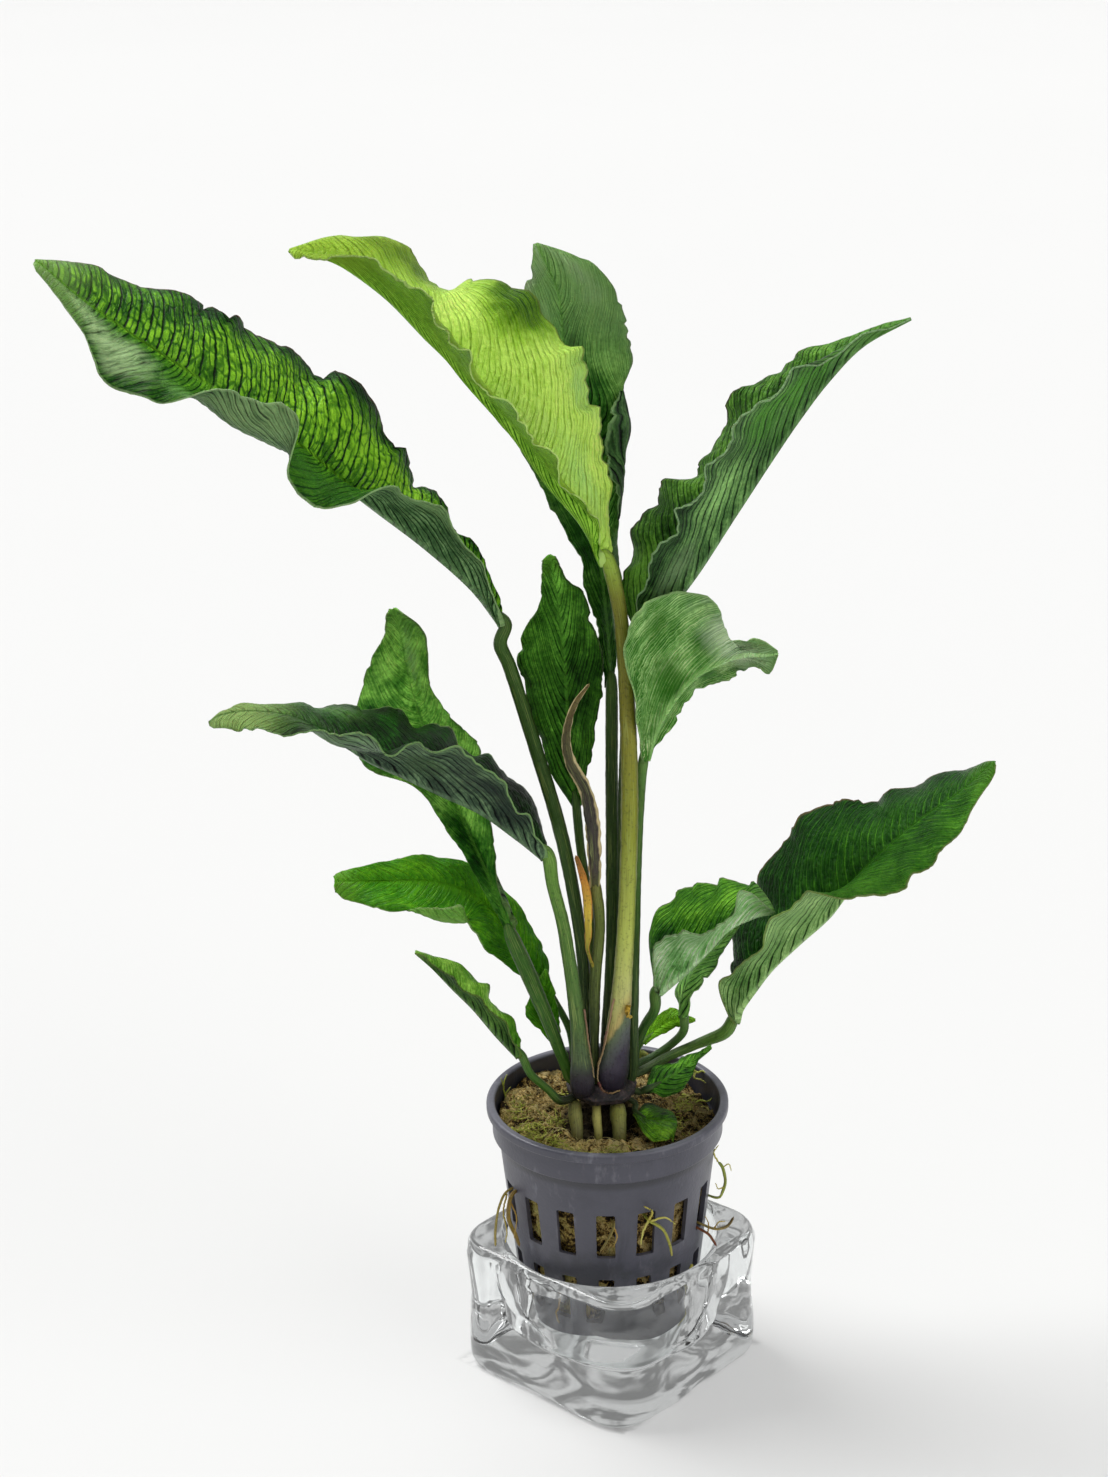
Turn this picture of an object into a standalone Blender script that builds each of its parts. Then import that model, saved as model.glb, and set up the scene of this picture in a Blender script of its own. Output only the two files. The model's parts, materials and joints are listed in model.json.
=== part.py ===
"""A potted aquarium plant: long ruffled leaves on stems, a net pot, and the clear block that holds it.

Units are metres, Z is up, and the origin is the middle of the block's underside.
"""
import math

import bmesh
import bpy
from mathutils import Matrix, Vector

MM = 0.001

# Clear block that the pot stands in
BLOCK_SIDE = 0.0525
BLOCK_CORNER = 0.0095
BLOCK_HEIGHT = 0.033
BLOCK_EDGE = 0.0025
BLOCK_TURN = math.radians(50)
BLOCK_SHIFT = 0.0005
BLOCK_CORNER_SEGMENTS = 5
BLOCK_EDGE_SEGMENTS = 2
BLOCK_EDGE_ANGLE = math.radians(60)
WELL_MOUTH_RADIUS = 0.0242
WELL_CHAMFER = 0.0010
WELL_SEAT_RADIUS = 0.0208
WELL_FLOOR_RADIUS = 0.0186
WELL_FILLET = 0.0020
WELL_FLOOR = 0.0095
WELL_FACETS = 36
CUT_MARGIN = 0.0020

# Net pot
POT_BOTTOM = 0.018
POT_TOP = 0.067
RIM_RADIUS = 0.0275
RIM_INNER_RADIUS = 0.0255
RIM_DEPTH = 0.0016
COLLAR_RADIUS = 0.0262
COLLAR_BOTTOM = 0.0592
SHELL_TOP_RADIUS = 0.0249
SHELL_FOOT_RADIUS = 0.0204
WALL = 0.0011
POT_ROUNDING = 0.0007
POT_FACETS = 32

# Slots in the pot: each row is its lower end, upper end and slot width. Holes in its floor.
SLOT_COUNT = 16
SLOT_OFFSET = math.radians(-1.5)
SLOT_ROWS = ((0.0385, 0.0500, 0.0042), (0.0225, 0.0325, 0.0035))
FLOOR_HOLE_RADIUS = 0.0035
FLOOR_HOLE_COUNT = 5
FLOOR_HOLE_FACETS = 10

# Growing medium
MEDIUM_GAP = 0.0005
MEDIUM_TOP = 0.0618
MEDIUM_HEAP = 0.0006
MEDIUM_FACETS = 20

# Rhizome, the thick creeping stem that every leaf stands on
RHIZOME_MIDDLE = (-0.0010, 0.0010, 0.06945)
RHIZOME_RADIUS = 0.0080
RHIZOME_THICKNESS = 0.0029
RHIZOME_EDGE = 0.0008
RHIZOME_FACETS = 20

# Drawing sheet that the plant is laid out on. It is square to the line of sight from EYE, and it goes
# through the middle of the pot's rim. A spot is (across, up, depth) in mm: across and up are measured
# on the sheet, and depth is how far back from the pot's middle the spot lies, along world Y.
EYE = Vector((0.0, -574.4, 371.2)) * MM
SHEET_MIDDLE = Vector((0.0, 0.0, 67.0)) * MM
SHEET_LEAN = math.radians(20.7)
SHEET_TURN = math.radians(1.1)
SHEET_ROLL = math.radians(0.9)

LEAF_EDGE_THICKNESS = 0.0007
LEAF_RIB_THICKNESS = 0.0014
LEAF_BASE_HALF_WIDTH = 0.0010
LEAF_TIP_HALF_WIDTH = 0.0003
LEAF_CAMBER = 0.10
NEAR_RUFFLE_LEAD = 0.3
SLOPE_STEP = 0.05

# Each blade: base and tip, then cross-sections from base to tip. A section is far edge, midrib and near
# edge; where the near half folds up towards the viewer it is far edge, midrib, fold and near edge.
# Ruffle is (height in mm, number of waves). Grid is (rows along the blade, columns in each half).
LEAVES = {
    "leaf_far_left": {
        "base": (-23, 107.5, 5), "tip": (-130, 190, -8), "ruffle": (1.2, 9), "grid": (20, 3),
        "sections": [
            [(-27, 119.5, 6), (-30, 116.5, 4), (-28, 119.5, 2)],
            [(-35, 131.5, 8), (-41, 126, 2), (-37, 132, -3)],
            [(-43, 141, 12), (-52, 134, 0), (-48, 138, -7)],
            [(-47, 148, 13), (-59, 139, -1), (-59, 135, -13)],
            [(-53, 158, 14), (-66, 145, -2), (-68, 134, -16)],
            [(-60, 164, 14), (-70, 148, -2), (-72, 141.5, -15)],
            [(-68, 167, 14), (-77, 152, -3), (-76, 148, -12), (-71, 154, -17)],
            [(-80, 174.5, 12), (-88, 160, -4), (-89, 155.5, -12), (-85, 160.5, -16)],
            [(-92, 181, 10), (-102, 169, -5), (-104, 158, -16)],
            [(-105, 184, 6), (-113, 176.5, -6), (-115.5, 165, -15)],
            [(-118, 188.5, 0), (-122, 183, -7), (-121, 178, -12)],
        ],
    },
    "leaf_top": {
        "base": (0.5, 121, -2), "tip": (-72, 192.5, -11), "ruffle": (1.0, 7), "grid": (18, 3),
        "sections": [
            [(1, 131, 2), (-5, 131, -3), (-3.5, 131.5, -6)],
            [(-1.5, 146, 5), (-13, 140, -4), (-10.5, 142, -11)],
            [(-4, 160, 8), (-21, 151, -5), (-19, 152.5, -16)],
            [(-7.5, 171, 10), (-31, 162, -6), (-29, 163.5, -20)],
            [(-18, 182, 12), (-36, 168, -6), (-34, 170, -21)],
            [(-31, 185.5, 13), (-41, 173, -7), (-38, 176.5, -21)],
            [(-37, 182.5, 11), (-50, 182, -8), (-47, 186.5, -19)],
            [(-46, 192.5, 6), (-60, 189, -9), (-57, 191, -14)],
            [(-60, 196, -2), (-67, 191.5, -10), (-66, 191, -12)],
        ],
    },
    "leaf_back": {
        "base": (1, 93, 7), "tip": (-16.3, 194, 27), "ruffle": (0.9, 6), "grid": (13, 2),
        "sections": [
            [(-3, 107, 8), (0, 107, 9), (2, 107, 12)],
            [(-7, 123, 10), (-2, 123, 12), (3, 123, 15)],
            [(-15.5, 139, 12), (-6, 138, 16), (3, 138, 17), (1, 140, 14)],
            [(-21, 149.5, 13), (-8, 146, 17), (3.6, 146, 19), (0, 147, 16)],
            [(-27.5, 158, 15), (-9, 153, 19), (4.2, 154, 22), (1, 155, 18)],
            [(-25, 172, 18), (-10, 168, 22), (5.5, 168, 27)],
            [(-19, 183, 21), (-11, 181, 25), (3, 181, 28)],
            [(-17.2, 189, 24), (-13.5, 188, 26), (-4, 189.5, 28)],
        ],
    },
    "leaf_upper_right": {
        "base": (7, 104, 5), "tip": (69, 177, 12), "ruffle": (1.1, 7), "grid": (15, 2),
        "sections": [
            [(3.5, 115, 12), (13, 111, 5), (7.5, 115, 0)],
            [(6, 126, 15), (20, 120, 5), (12, 125, -5)],
            [(12, 138, 17), (28, 132, 6), (18, 134.5, -7)],
            [(22, 143, 18), (36, 144, 7), (25, 145, -7)],
            [(27, 156, 19), (43, 154, 8), (32, 155, -5)],
            [(38, 165, 18), (50, 163, 9), (41, 163, -1)],
            [(52, 172, 16), (58, 171, 10), (53, 170, 4)],
        ],
    },
    "leaf_centre": {
        "base": (-7, 66, 6), "tip": (-13, 123, 2), "ruffle": (0.9, 5), "grid": (11, 2),
        "sections": [
            [(-13, 75, 8), (-8.5, 77, 9), (-4, 77, 6)],
            [(-18, 89, 9.5), (-9, 90, 10), (-1.5, 90, 5)],
            [(-20, 102, 9.5), (-10, 102, 10), (-1.2, 100, 4.8)],
            [(-15.5, 112, 7.5), (-11, 112, 8), (-5, 113, 5)],
            [(-14.5, 119, 4.5), (-12, 118.5, 5.5), (-9, 118, 4)],
        ],
    },
    "leaf_pale_right": {
        "base": (8.3, 77, 0.4), "tip": (38.7, 101, 16), "ruffle": (0.7, 4), "grid": (12, 2),
        "sections": [
            [(14, 83.5, 3), (10.7, 84, 0.4), (6.8, 88, -6.2)],
            [(19, 91, 7), (15, 91, 2), (4.5, 102, -7)],
            [(25, 93.5, 12), (20, 96, 5), (8, 113, -5)],
            [(30, 96, 15), (26, 99, 9), (20, 115, 4)],
            [(31.5, 96.8, 16), (29, 100, 11), (25.7, 110.5, 9)],
            [(33.5, 97.8, 16), (32, 100.5, 13), (27, 104, 12)],
            [(36.5, 96.5, 16), (36.5, 100.5, 15), (34, 104, 14)],
        ],
    },
    "leaf_mid_left": {
        "base": (-13.5, 55, -4), "tip": (-90.5, 85, -12), "ruffle": (0.9, 8), "grid": (16, 2),
        "sections": [
            [(-15, 63, 3), (-20, 60, -6), (-17.5, 62, -10)],
            [(-22, 73, 7), (-28, 65.5, -7), (-23, 70, -14)],
            [(-31, 79, 9), (-37, 69.5, -8), (-31, 77, -19)],
            [(-41, 85, 10), (-46, 73.5, -9), (-41, 79.5, -22)],
            [(-51, 88, 9), (-54, 77, -10), (-50, 78, -22)],
            [(-61, 88, 6), (-62, 82, -11), (-61, 80, -17), (-60, 83.5, -21)],
            [(-70, 89, 2), (-71, 86, -12), (-71, 82.7, -20)],
            [(-80, 89.5, -5), (-80, 87.5, -12), (-80, 83, -18)],
            [(-87, 88, -10), (-87, 86.8, -12), (-86, 84.5, -15)],
        ],
    },
    "leaf_left_back": {
        "base": (-21.5, 36, 2), "tip": (-48.5, 111, 18), "ruffle": (0.8, 6), "grid": (13, 2),
        "sections": [
            [(-24.5, 47, 4), (-26, 48, 6), (-29, 48.5, 5)],
            [(-25.5, 58, 6), (-31, 59, 10), (-36, 60, 8)],
            [(-27, 70, 10), (-36, 70, 14), (-44, 70.5, 11)],
            [(-28.5, 79, 13), (-40, 79, 17), (-55, 75, 14)],
            [(-34, 85, 15), (-43, 88, 18), (-57.5, 84, 15)],
            [(-40, 93, 16), (-45.5, 97, 19), (-55, 97, 16)],
            [(-41.5, 104, 17), (-47, 105, 19), (-50.5, 105, 17)],
        ],
    },
    "leaf_low_left": {
        "base": (-14.5, 25.5, 8), "tip": (-62, 49, 3), "ruffle": (0.6, 6), "grid": (12, 2),
        "sections": [
            [(-13.5, 31, 11), (-17.5, 30, 9), (-21, 28.5, 6)],
            [(-16.5, 36.5, 13), (-22, 36, 10), (-27, 33, 5)],
            [(-20, 43, 14), (-27, 43, 11), (-31, 39, 4)],
            [(-29, 51.5, 14), (-33, 47, 10), (-34, 39.5, 3), (-34, 43.2, 0)],
            [(-39, 55, 12), (-41, 49, 8), (-43, 42.3, 2), (-42, 43.2, 1)],
            [(-49, 54, 9), (-50, 49, 6), (-50, 42, 1)],
            [(-57, 52, 6), (-57, 49, 4), (-58, 44.8, 2)],
        ],
    },
    "leaf_small_left": {
        "base": (-9.5, 8, 3), "tip": (-14, 29, 5), "ruffle": (0.4, 3), "grid": (8, 2),
        "sections": [
            [(-10.3, 13, 3), (-11.5, 13.5, 4), (-13.5, 13, 3)],
            [(-10.8, 19, 3), (-13.5, 19, 5), (-18.5, 18.5, 2)],
            [(-12, 24.5, 4), (-14, 24, 5), (-17.5, 23, 3)],
        ],
    },
    "leaf_bottom_left": {
        "base": (-19.5, 9.5, -8), "tip": (-43.5, 33, -11), "ruffle": (0.5, 4), "grid": (10, 2),
        "sections": [
            [(-20.5, 15.5, -5), (-25, 15, -9), (-23.5, 17, -12)],
            [(-26, 22, -4), (-30, 20.5, -10), (-28.5, 22, -13)],
            [(-29, 26.5, -4), (-35, 25, -10), (-34, 26, -13)],
            [(-36, 31, -7), (-40, 29.8, -11), (-39.5, 30.3, -12)],
        ],
    },
    "leaf_far_right": {
        "base": (28.5, 17.5, 9), "tip": (88, 76, 2), "ruffle": (0.9, 8), "grid": (16, 2),
        "sections": [
            [(29, 27, 12), (30.5, 22, 7), (25.5, 26.5, 3)],
            [(28.5, 35, 15), (36, 29, 7), (31.5, 30.5, 1)],
            [(33, 46, 18), (43, 35.5, 6), (37, 39, -3)],
            [(40, 58.5, 19), (50, 41.5, 6), (44.5, 46, -6)],
            [(49, 66.7, 19), (56, 49, 6), (55, 45, -8)],
            [(59, 67.8, 18), (63, 56, 5), (67, 47.6, -9)],
            [(70, 71, 16), (72, 63.5, 4), (74.5, 54, -7)],
            [(79, 74, 12), (80, 69, 3), (81, 62, -4)],
        ],
    },
    "leaf_hooded_right": {
        "base": (11, 24, 4), "tip": (38, 42, 1), "ruffle": (0.6, 4), "grid": (10, 2),
        "sections": [
            [(9.5, 35, 8), (13.5, 26, 3), (10.5, 33.5, -2)],
            [(12.5, 44, 11), (17.5, 29, 2), (14, 37.5, -5)],
            [(19, 48, 12), (22, 33, 1), (20, 37.5, -6)],
            [(27, 49.3, 10), (27, 38, 0), (26, 39.5, -5)],
            [(33.5, 48, 6), (33, 41, 0), (31, 46, -3)],
        ],
    },
    "leaf_narrow_right": {
        "base": (17.5, 18.5, 10), "tip": (30, 39, 8), "ruffle": (0.4, 3), "grid": (8, 2),
        "sections": [
            [(15.5, 24, 12), (18, 23, 9), (19.5, 23, 7)],
            [(19, 29, 13), (20.5, 28.5, 9), (23, 26.5, 6)],
            [(24, 35, 12), (25, 33.5, 9), (25.5, 31.5, 7)],
        ],
    },
    "leaf_tiny_right": {
        "base": (8, 12.5, 10.5), "tip": (20, 17.5, 14), "ruffle": (0.3, 2), "grid": (6, 2),
        "sections": [
            [(11, 18, 14), (11.5, 15.5, 12), (12, 14.3, 11)],
            [(14.5, 20.3, 15), (15, 17.5, 13), (15.5, 15.5, 12)],
        ],
    },
    "leaf_over_soil": {
        "base": (9.5, 2, 0), "tip": (23.5, 11.5, 5), "ruffle": (0.4, 3), "grid": (8, 2),
        "sections": [
            [(10.5, 6.5, 6), (12.5, 3.5, 2), (12, 0, -1)],
            [(15.5, 8, 8), (16, 5.5, 4), (17.5, 1, 0)],
            [(19.5, 9.8, 7), (20, 8.5, 5), (20, 7, 3)],
        ],
    },
    "leaf_round_front": {
        "base": (6.5, -3.5, -3.5), "tip": (15.8, -6, -8), "ruffle": (0.3, 2), "grid": (7, 2),
        "sections": [
            [(8.5, -2.3, 0), (9, -5, -6), (8.5, -8.5, -12.5)],
            [(12.5, -2.2, -1), (12.5, -5.5, -8), (12.5, -10.3, -15.5)],
            [(15, -3.8, -3), (15, -6, -8), (14.8, -8.8, -13)],
        ],
    },
}

# Each stem runs from its blade down to the rhizome. It starts at the blade's base, with the diameter
# given first, and goes through the spots, each with the diameter there in mm.
STEMS = {
    "stem_far_left": ("leaf_far_left", 2.6, [
        (-24.3, 103, 5, 3.0), (-21.9, 97, 5, 3.0), (-16.5, 80, 4, 3.1), (-10.3, 59, 3, 3.1),
        (-6.2, 37, 2, 2.8), (-4.6, 18, 2, 2.8), (-4, 4.8, 2, 3.0)]),
    "stem_top": ("leaf_top", 3.2, [
        (3.2, 108, -2, 3.1), (4.6, 88, -2, 3.5), (5.1, 66, -2, 3.8), (4.4, 42, -2, 3.8),
        (3.2, 23, -2, 4.6), (2.0, 11, -2, 6.2), (1.2, 6, -2, 7.2), (1, 3, -2, 6.0)]),
    "stem_back": ("leaf_back", 2.6, [
        (1, 75, 6, 2.8), (1.1, 52, 5, 2.8), (0.9, 32, 4.5, 2.6), (-0.3, 12, 4, 2.6),
        (-0.6, 5.8, 4, 2.6)]),
    "stem_upper_right": ("leaf_upper_right", 2.4, [
        (5, 94, 4.5, 2.6), (4, 75, 3.2, 2.6), (3.4, 52, 2.4, 2.4), (3.2, 30, 2.4, 2.4),
        (2.8, 14, 3, 2.4), (2.7, 6.2, 4.6, 2.2)]),
    "stem_centre": ("leaf_centre", 2.0, [
        (-6, 56, 6, 2.0), (-4.2, 44, 7, 2.0), (-3.2, 25, 8, 2.0), (-3.2, 7.2, 7, 2.0)]),
    "stem_pale_right": ("leaf_pale_right", 2.2, [
        (7.5, 69, 1.6, 2.2), (6.8, 55, 2, 2.2), (6.3, 35, 2.5, 2.2), (6, 18, 2, 2.2),
        (5.6, 4.8, 1.7, 2.2)]),
    "stem_mid_left": ("leaf_mid_left", 3.0, [
        (-12.3, 48, -5, 2.9), (-9.8, 38, -5, 2.9), (-7.2, 21, -5, 3.4), (-6.1, 11, -5, 4.2),
        (-5.6, 5, -5, 5.6), (-5.6, 1.5, -5, 5.0)]),
    "stem_left_back": ("leaf_left_back", 3.4, [
        (-17.5, 27, 1, 3.6), (-13.5, 17.5, 0, 3.2), (-9.8, 8, 0, 2.6), (-8.2, 4.1, 0.5, 2.4)]),
    "stem_low_left": ("leaf_low_left", 1.8, [
        (-11.5, 21, 7.5, 1.7), (-8.5, 15, 7, 1.7), (-6.9, 6.5, 5.8, 1.7)]),
    "stem_small_left": ("leaf_small_left", 1.3, [(-9.4, 6.2, 3.2, 1.3), (-9.3, 5.2, 3.2, 1.3)]),
    "stem_bottom_left": ("leaf_bottom_left", 2.0, [
        (-17.5, 5.4, -8, 1.8), (-13.5, 1.8, -7, 1.8), (-10.4, -0.8, -6, 2.0)]),
    "stem_far_right": ("leaf_far_right", 2.8, [
        (26.5, 14.6, 9.5, 3.0), (21, 12.3, 11, 2.4), (14, 9.3, 9.8, 2.2), (8.6, 6.3, 6.6, 2.2)]),
    "stem_hooded_right": ("leaf_hooded_right", 2.6, [
        (10.8, 20, 4.5, 2.4), (8.4, 16, 5.6, 2.2), (6.4, 11, 6, 2.2), (5.7, 6.6, 5.8, 2.2)]),
    "stem_narrow_right": ("leaf_narrow_right", 2.0, [
        (17.3, 15, 10.5, 2.0), (14.5, 12.0, 12.6, 1.9), (10, 8.9, 12.2, 1.9), (7.6, 7.9, 9.8, 1.8)]),
    "stem_tiny_right": ("leaf_tiny_right", 1.1, [(6.6, 10.4, 10.2, 1.1), (4.8, 8.4, 9.6, 1.1)]),
    "stem_over_soil": ("leaf_over_soil", 1.6, [(8.2, 1.5, 0.4, 1.6), (7.6, 1.2, 0.6, 1.6)]),
    "stem_round_front": ("leaf_round_front", 1.4, [(6.2, -2.4, -1.6, 1.4), (6.2, -1.2, -0.2, 1.4)]),
}
STEM_GAP = 0.0010
THICK_STEM = 2.5
MERGE_DISTANCE = 0.00001

# Withered shoot with its own stem, the dry sheath beside it and the cut stub, from top to bottom
DRY_PIECES = {
    "stem_withered": [
        (-2.4, 46.5, -1, 2.6), (-1.7, 39, -1, 2.4), (-2.8, 26, -1, 2.6), (-2.9, 17, -1, 2.4),
        (-2.9, 12.5, -1.2, 2.0)],
    "withered_shoot": [
        (-4, 94, -3, 0.6), (-7.5, 89, -3, 1.3), (-9.3, 82, -3, 1.9), (-8.3, 76, -2, 2.4),
        (-5, 70, -2, 2.8), (-3.4, 62, -2, 3.3), (-2.9, 54, -1.5, 2.8), (-2.7, 47.2, -1, 2.4)],
    "yellow_sheath": [
        (-7.2, 55, -2.2, 0.8), (-5.8, 51, -2.6, 1.8), (-4.6, 45.5, -3.2, 1.9), (-4.4, 37, -3.4, 1.2),
        (-4.6, 33.5, -3.4, 0.8)],
    "yellow_stub": [(6.2, 10.6, 14, 1.6), (8, 9.3, 14.2, 2.4), (9.8, 8, 14.4, 2.2)],
}

# Roots: three thick ones that prop the rhizome up, then fine ones that hang from the pot's slots
PROP_ROOTS = {
    "prop_root_left": [(-7.3, -2.2, -4.4, 3.0), (-7.3, -4.4, -6.0, 3.2), (-6.9, -6.8, -7.8, 2.8)],
    "prop_root_middle": [(-2.4, -2.4, -4.8, 2.0), (-2.4, -4.8, -6.8, 2.1), (-2.1, -7.4, -9.0, 1.9)],
    "prop_root_right": [(2.4, -3.0, -4.5, 3.6), (2.5, -4.6, -6.2, 3.7), (2.7, -6.6, -8.2, 3.0)],
}
HANGING_ROOTS = {
    "root_left_thin": [(-22.7, -21.3, -11, 0.8), (-24.6, -25, -11, 0.8), (-25.4, -30, -11, 0.8),
                       (-25.4, -34, -11, 0.7)],
    "root_left_thick": [(-21.9, -22.6, -13.6, 1.3), (-22.4, -27.6, -12.4, 1.4),
                        (-20.8, -31.4, -13.4, 1.3), (-19.9, -34, -14.4, 1.0)],
    "root_right_loop": [(25.1, -14.6, -4, 0.9), (26.2, -16, -4, 1.0), (26.8, -19.2, -4, 1.0),
                        (26.2, -21.4, -4, 1.0), (25, -22.9, -4.6, 0.8)],
    "root_right_outer": [(23.8, -29.8, -9, 0.8), (26, -29.8, -7, 0.9), (27.6, -29.0, -5, 0.9),
                         (28.8, -27.1, -4, 0.7)],
    "root_right_red": [(22.6, -30.9, -11.4, 0.8), (24, -32.5, -11.4, 0.8), (24.9, -34, -11.6, 0.6)],
    "root_front": [(9.4, -28, -23.3, 0.9), (12.6, -30, -22.2, 1.0), (14.2, -33.5, -21, 0.9),
                   (14.7, -36.2, -20, 0.7)],
    "root_front_slot": [(1.5, -29.2, -24.9, 0.8), (0.2, -32.2, -24.6, 0.8), (-1.7, -35.3, -24.2, 0.6)],
}

# Colours and surface roughness
CLEAR = (0.93, 0.96, 0.95)
POT_GREY = (0.16, 0.17, 0.19)
SOIL_BROWN = (0.20, 0.14, 0.07)
RHIZOME_PURPLE = (0.05, 0.04, 0.05)
LEAF_GREEN = (0.05, 0.20, 0.02)
LEAF_LIME = (0.32, 0.48, 0.04)
LEAF_PALE = (0.22, 0.38, 0.14)
STEM_GREEN = (0.12, 0.20, 0.05)
STEM_OLIVE = (0.25, 0.24, 0.06)
DRY_BROWN = (0.24, 0.20, 0.15)
DRY_YELLOW = (0.62, 0.42, 0.06)
ROOT_OLIVE = (0.28, 0.27, 0.08)
ROOT_TAN = (0.42, 0.33, 0.18)
CLEAR_ROUGHNESS = 0.03
PLASTIC_ROUGHNESS = 0.45
SOIL_ROUGHNESS = 0.95
LEAF_ROUGHNESS = 0.4
STEM_ROUGHNESS = 0.5
DRY_ROUGHNESS = 0.7
BLADE_COLOURS = {
    "leaf_top": LEAF_LIME,
    "leaf_pale_right": LEAF_PALE,
    "leaf_low_left": LEAF_LIME,
}
DRY_COLOURS = {
    "stem_withered": STEM_GREEN,
    "withered_shoot": DRY_BROWN,
    "yellow_sheath": DRY_YELLOW,
    "yellow_stub": DRY_YELLOW,
}

PART_COLLECTION = "potted_aquarium_plant"
CUTTER_COLLECTION = "cutters"


def spot(across, up, depth):
    """The point at a world depth (mm) that lies behind or before a place on the drawing sheet."""
    facing = (Matrix.Rotation(SHEET_TURN, 3, "Z") @ Matrix.Rotation(-SHEET_LEAN, 3, "X")
              @ Matrix.Rotation(SHEET_ROLL, 3, "Y"))
    on_sheet = SHEET_MIDDLE + facing @ Vector((across, 0.0, up)) * MM
    reach = (depth * MM - EYE.y) / (on_sheet.y - EYE.y)
    return EYE + (on_sheet - EYE) * reach


def make_material(name, colour, roughness, metallic=0.0, transmission=0.0):
    """A plain Principled material."""
    material = bpy.data.materials.new(name)
    material.use_nodes = True
    shader = material.node_tree.nodes["Principled BSDF"]
    shader.inputs["Base Color"].default_value = (*colour, 1.0)
    shader.inputs["Roughness"].default_value = roughness
    shader.inputs["Metallic"].default_value = metallic
    shader.inputs["Transmission Weight"].default_value = transmission
    material.diffuse_color = (*colour, 1.0)
    return material


def get_collection(name):
    """The named collection, made the first time it is asked for."""
    if name not in bpy.data.collections:
        bpy.context.scene.collection.children.link(bpy.data.collections.new(name))
    return bpy.data.collections[name]


def add_object(name, mesh, material=None, collection=PART_COLLECTION):
    """Put a mesh in the scene as an object of its own."""
    thing = bpy.data.objects.new(name, mesh)
    get_collection(collection).objects.link(thing)
    if material is not None:
        mesh.materials.append(material)
    return thing


def mesh_from(name, grid_mesh):
    """Turn a bmesh into a mesh whose faces point outwards."""
    bmesh.ops.recalc_face_normals(grid_mesh, faces=grid_mesh.faces)
    mesh = bpy.data.meshes.new(name)
    grid_mesh.to_mesh(mesh)
    grid_mesh.free()
    return mesh


def add_turned(name, profile, steps, material=None, collection=PART_COLLECTION):
    """Spin a profile of (radius, height) points about Z. It runs down its outer side."""
    mesh = bpy.data.meshes.new(name)
    points = [(radius, 0.0, height) for radius, height in profile]
    edges = [(index, index + 1) for index in range(len(points) - 1)]
    mesh.from_pydata(points, edges, [])
    thing = add_object(name, mesh, material, collection)
    spin = thing.modifiers.new("spin", "SCREW")
    spin.steps = steps
    spin.render_steps = steps
    spin.use_merge_vertices = True
    spin.merge_threshold = MERGE_DISTANCE
    return thing


def as_cutter(thing):
    """Hide a shape that only cuts another."""
    thing.hide_render = True
    thing.display_type = "WIRE"
    return thing


def cut(thing, cutter):
    """Subtract one shape from another."""
    subtract = thing.modifiers.new("cut_" + cutter.name, "BOOLEAN")
    subtract.operation = "DIFFERENCE"
    subtract.solver = "EXACT"
    subtract.object = as_cutter(cutter)


def curve_through(points, position):
    """A smooth curve through points of any size, at a position counted in points."""
    last = len(points) - 1
    index = min(int(position), last - 1)
    part = position - index
    before = points[max(index - 1, 0)]
    start = points[index]
    end = points[index + 1]
    after = points[min(index + 2, last)]
    slope_in = (end - before) / 2 if index > 0 else end - start
    slope_out = (after - start) / 2 if index + 2 <= last else end - start
    square = part * part
    cube = square * part
    return (start * (2 * cube - 3 * square + 1) + slope_in * (cube - 2 * square + part)
            + end * (3 * square - 2 * cube) + slope_out * (cube - square))


def even_positions(points, count):
    """Positions, counted in points, that are spread evenly along a line of points."""
    lengths = [(after - before).length for before, after in zip(points, points[1:])]
    total = sum(lengths)
    positions = []
    for step in range(count):
        distance = total * step / (count - 1)
        index = 0
        while index < len(lengths) - 1 and distance > lengths[index]:
            distance -= lengths[index]
            index += 1
        positions.append(index + min(distance / lengths[index], 1.0))
    return positions


def section_points(section):
    """Points across a blade: far edge, midrib, fold and near edge. The fold is None where there is none."""
    points = [spot(*place) for place in section]
    if len(points) == 3:
        points.insert(2, None)
    return points


def blade_rails(leaf):
    """Five lines that run along the blade, from base to tip."""
    sections = [section_points(section) for section in leaf["sections"]]
    base = spot(*leaf["base"])
    tip = spot(*leaf["tip"])
    ribs = [base] + [section[1] for section in sections] + [tip]
    rails = [[], [], ribs, [], []]
    for index, rib in enumerate(ribs):
        along = (ribs[min(index + 1, len(ribs) - 1)] - ribs[max(index - 1, 0)]).normalized()
        far, _, fold, near = sections[min(max(index - 1, 0), len(sections) - 1)]
        if index in (0, len(ribs) - 1):
            half_width = LEAF_BASE_HALF_WIDTH if index == 0 else LEAF_TIP_HALF_WIDTH
            across = (far - near) - along * (far - near).dot(along)
            far = rib + across.normalized() * half_width
            near = rib - across.normalized() * half_width
            fold = (rib + near) / 2
        upward = (far - near).cross(along).normalized()
        if upward.z < 0:
            upward = -upward
        far_middle = (rib + far) / 2 + upward * (far - rib).length * LEAF_CAMBER
        near_middle = fold or (rib + near) / 2 + upward * (near - rib).length * LEAF_CAMBER
        for rail, point in zip(rails, (far, far_middle, None, near_middle, near)):
            if point is not None:
                rail.append(point)
    return rails


def across_half(rib, middle, edge, share):
    """A point on the smooth arc from midrib to edge through the middle."""
    return (rib * (2 * share - 1) * (share - 1) + middle * 4 * share * (1 - share)
            + edge * share * (2 * share - 1))


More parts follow.
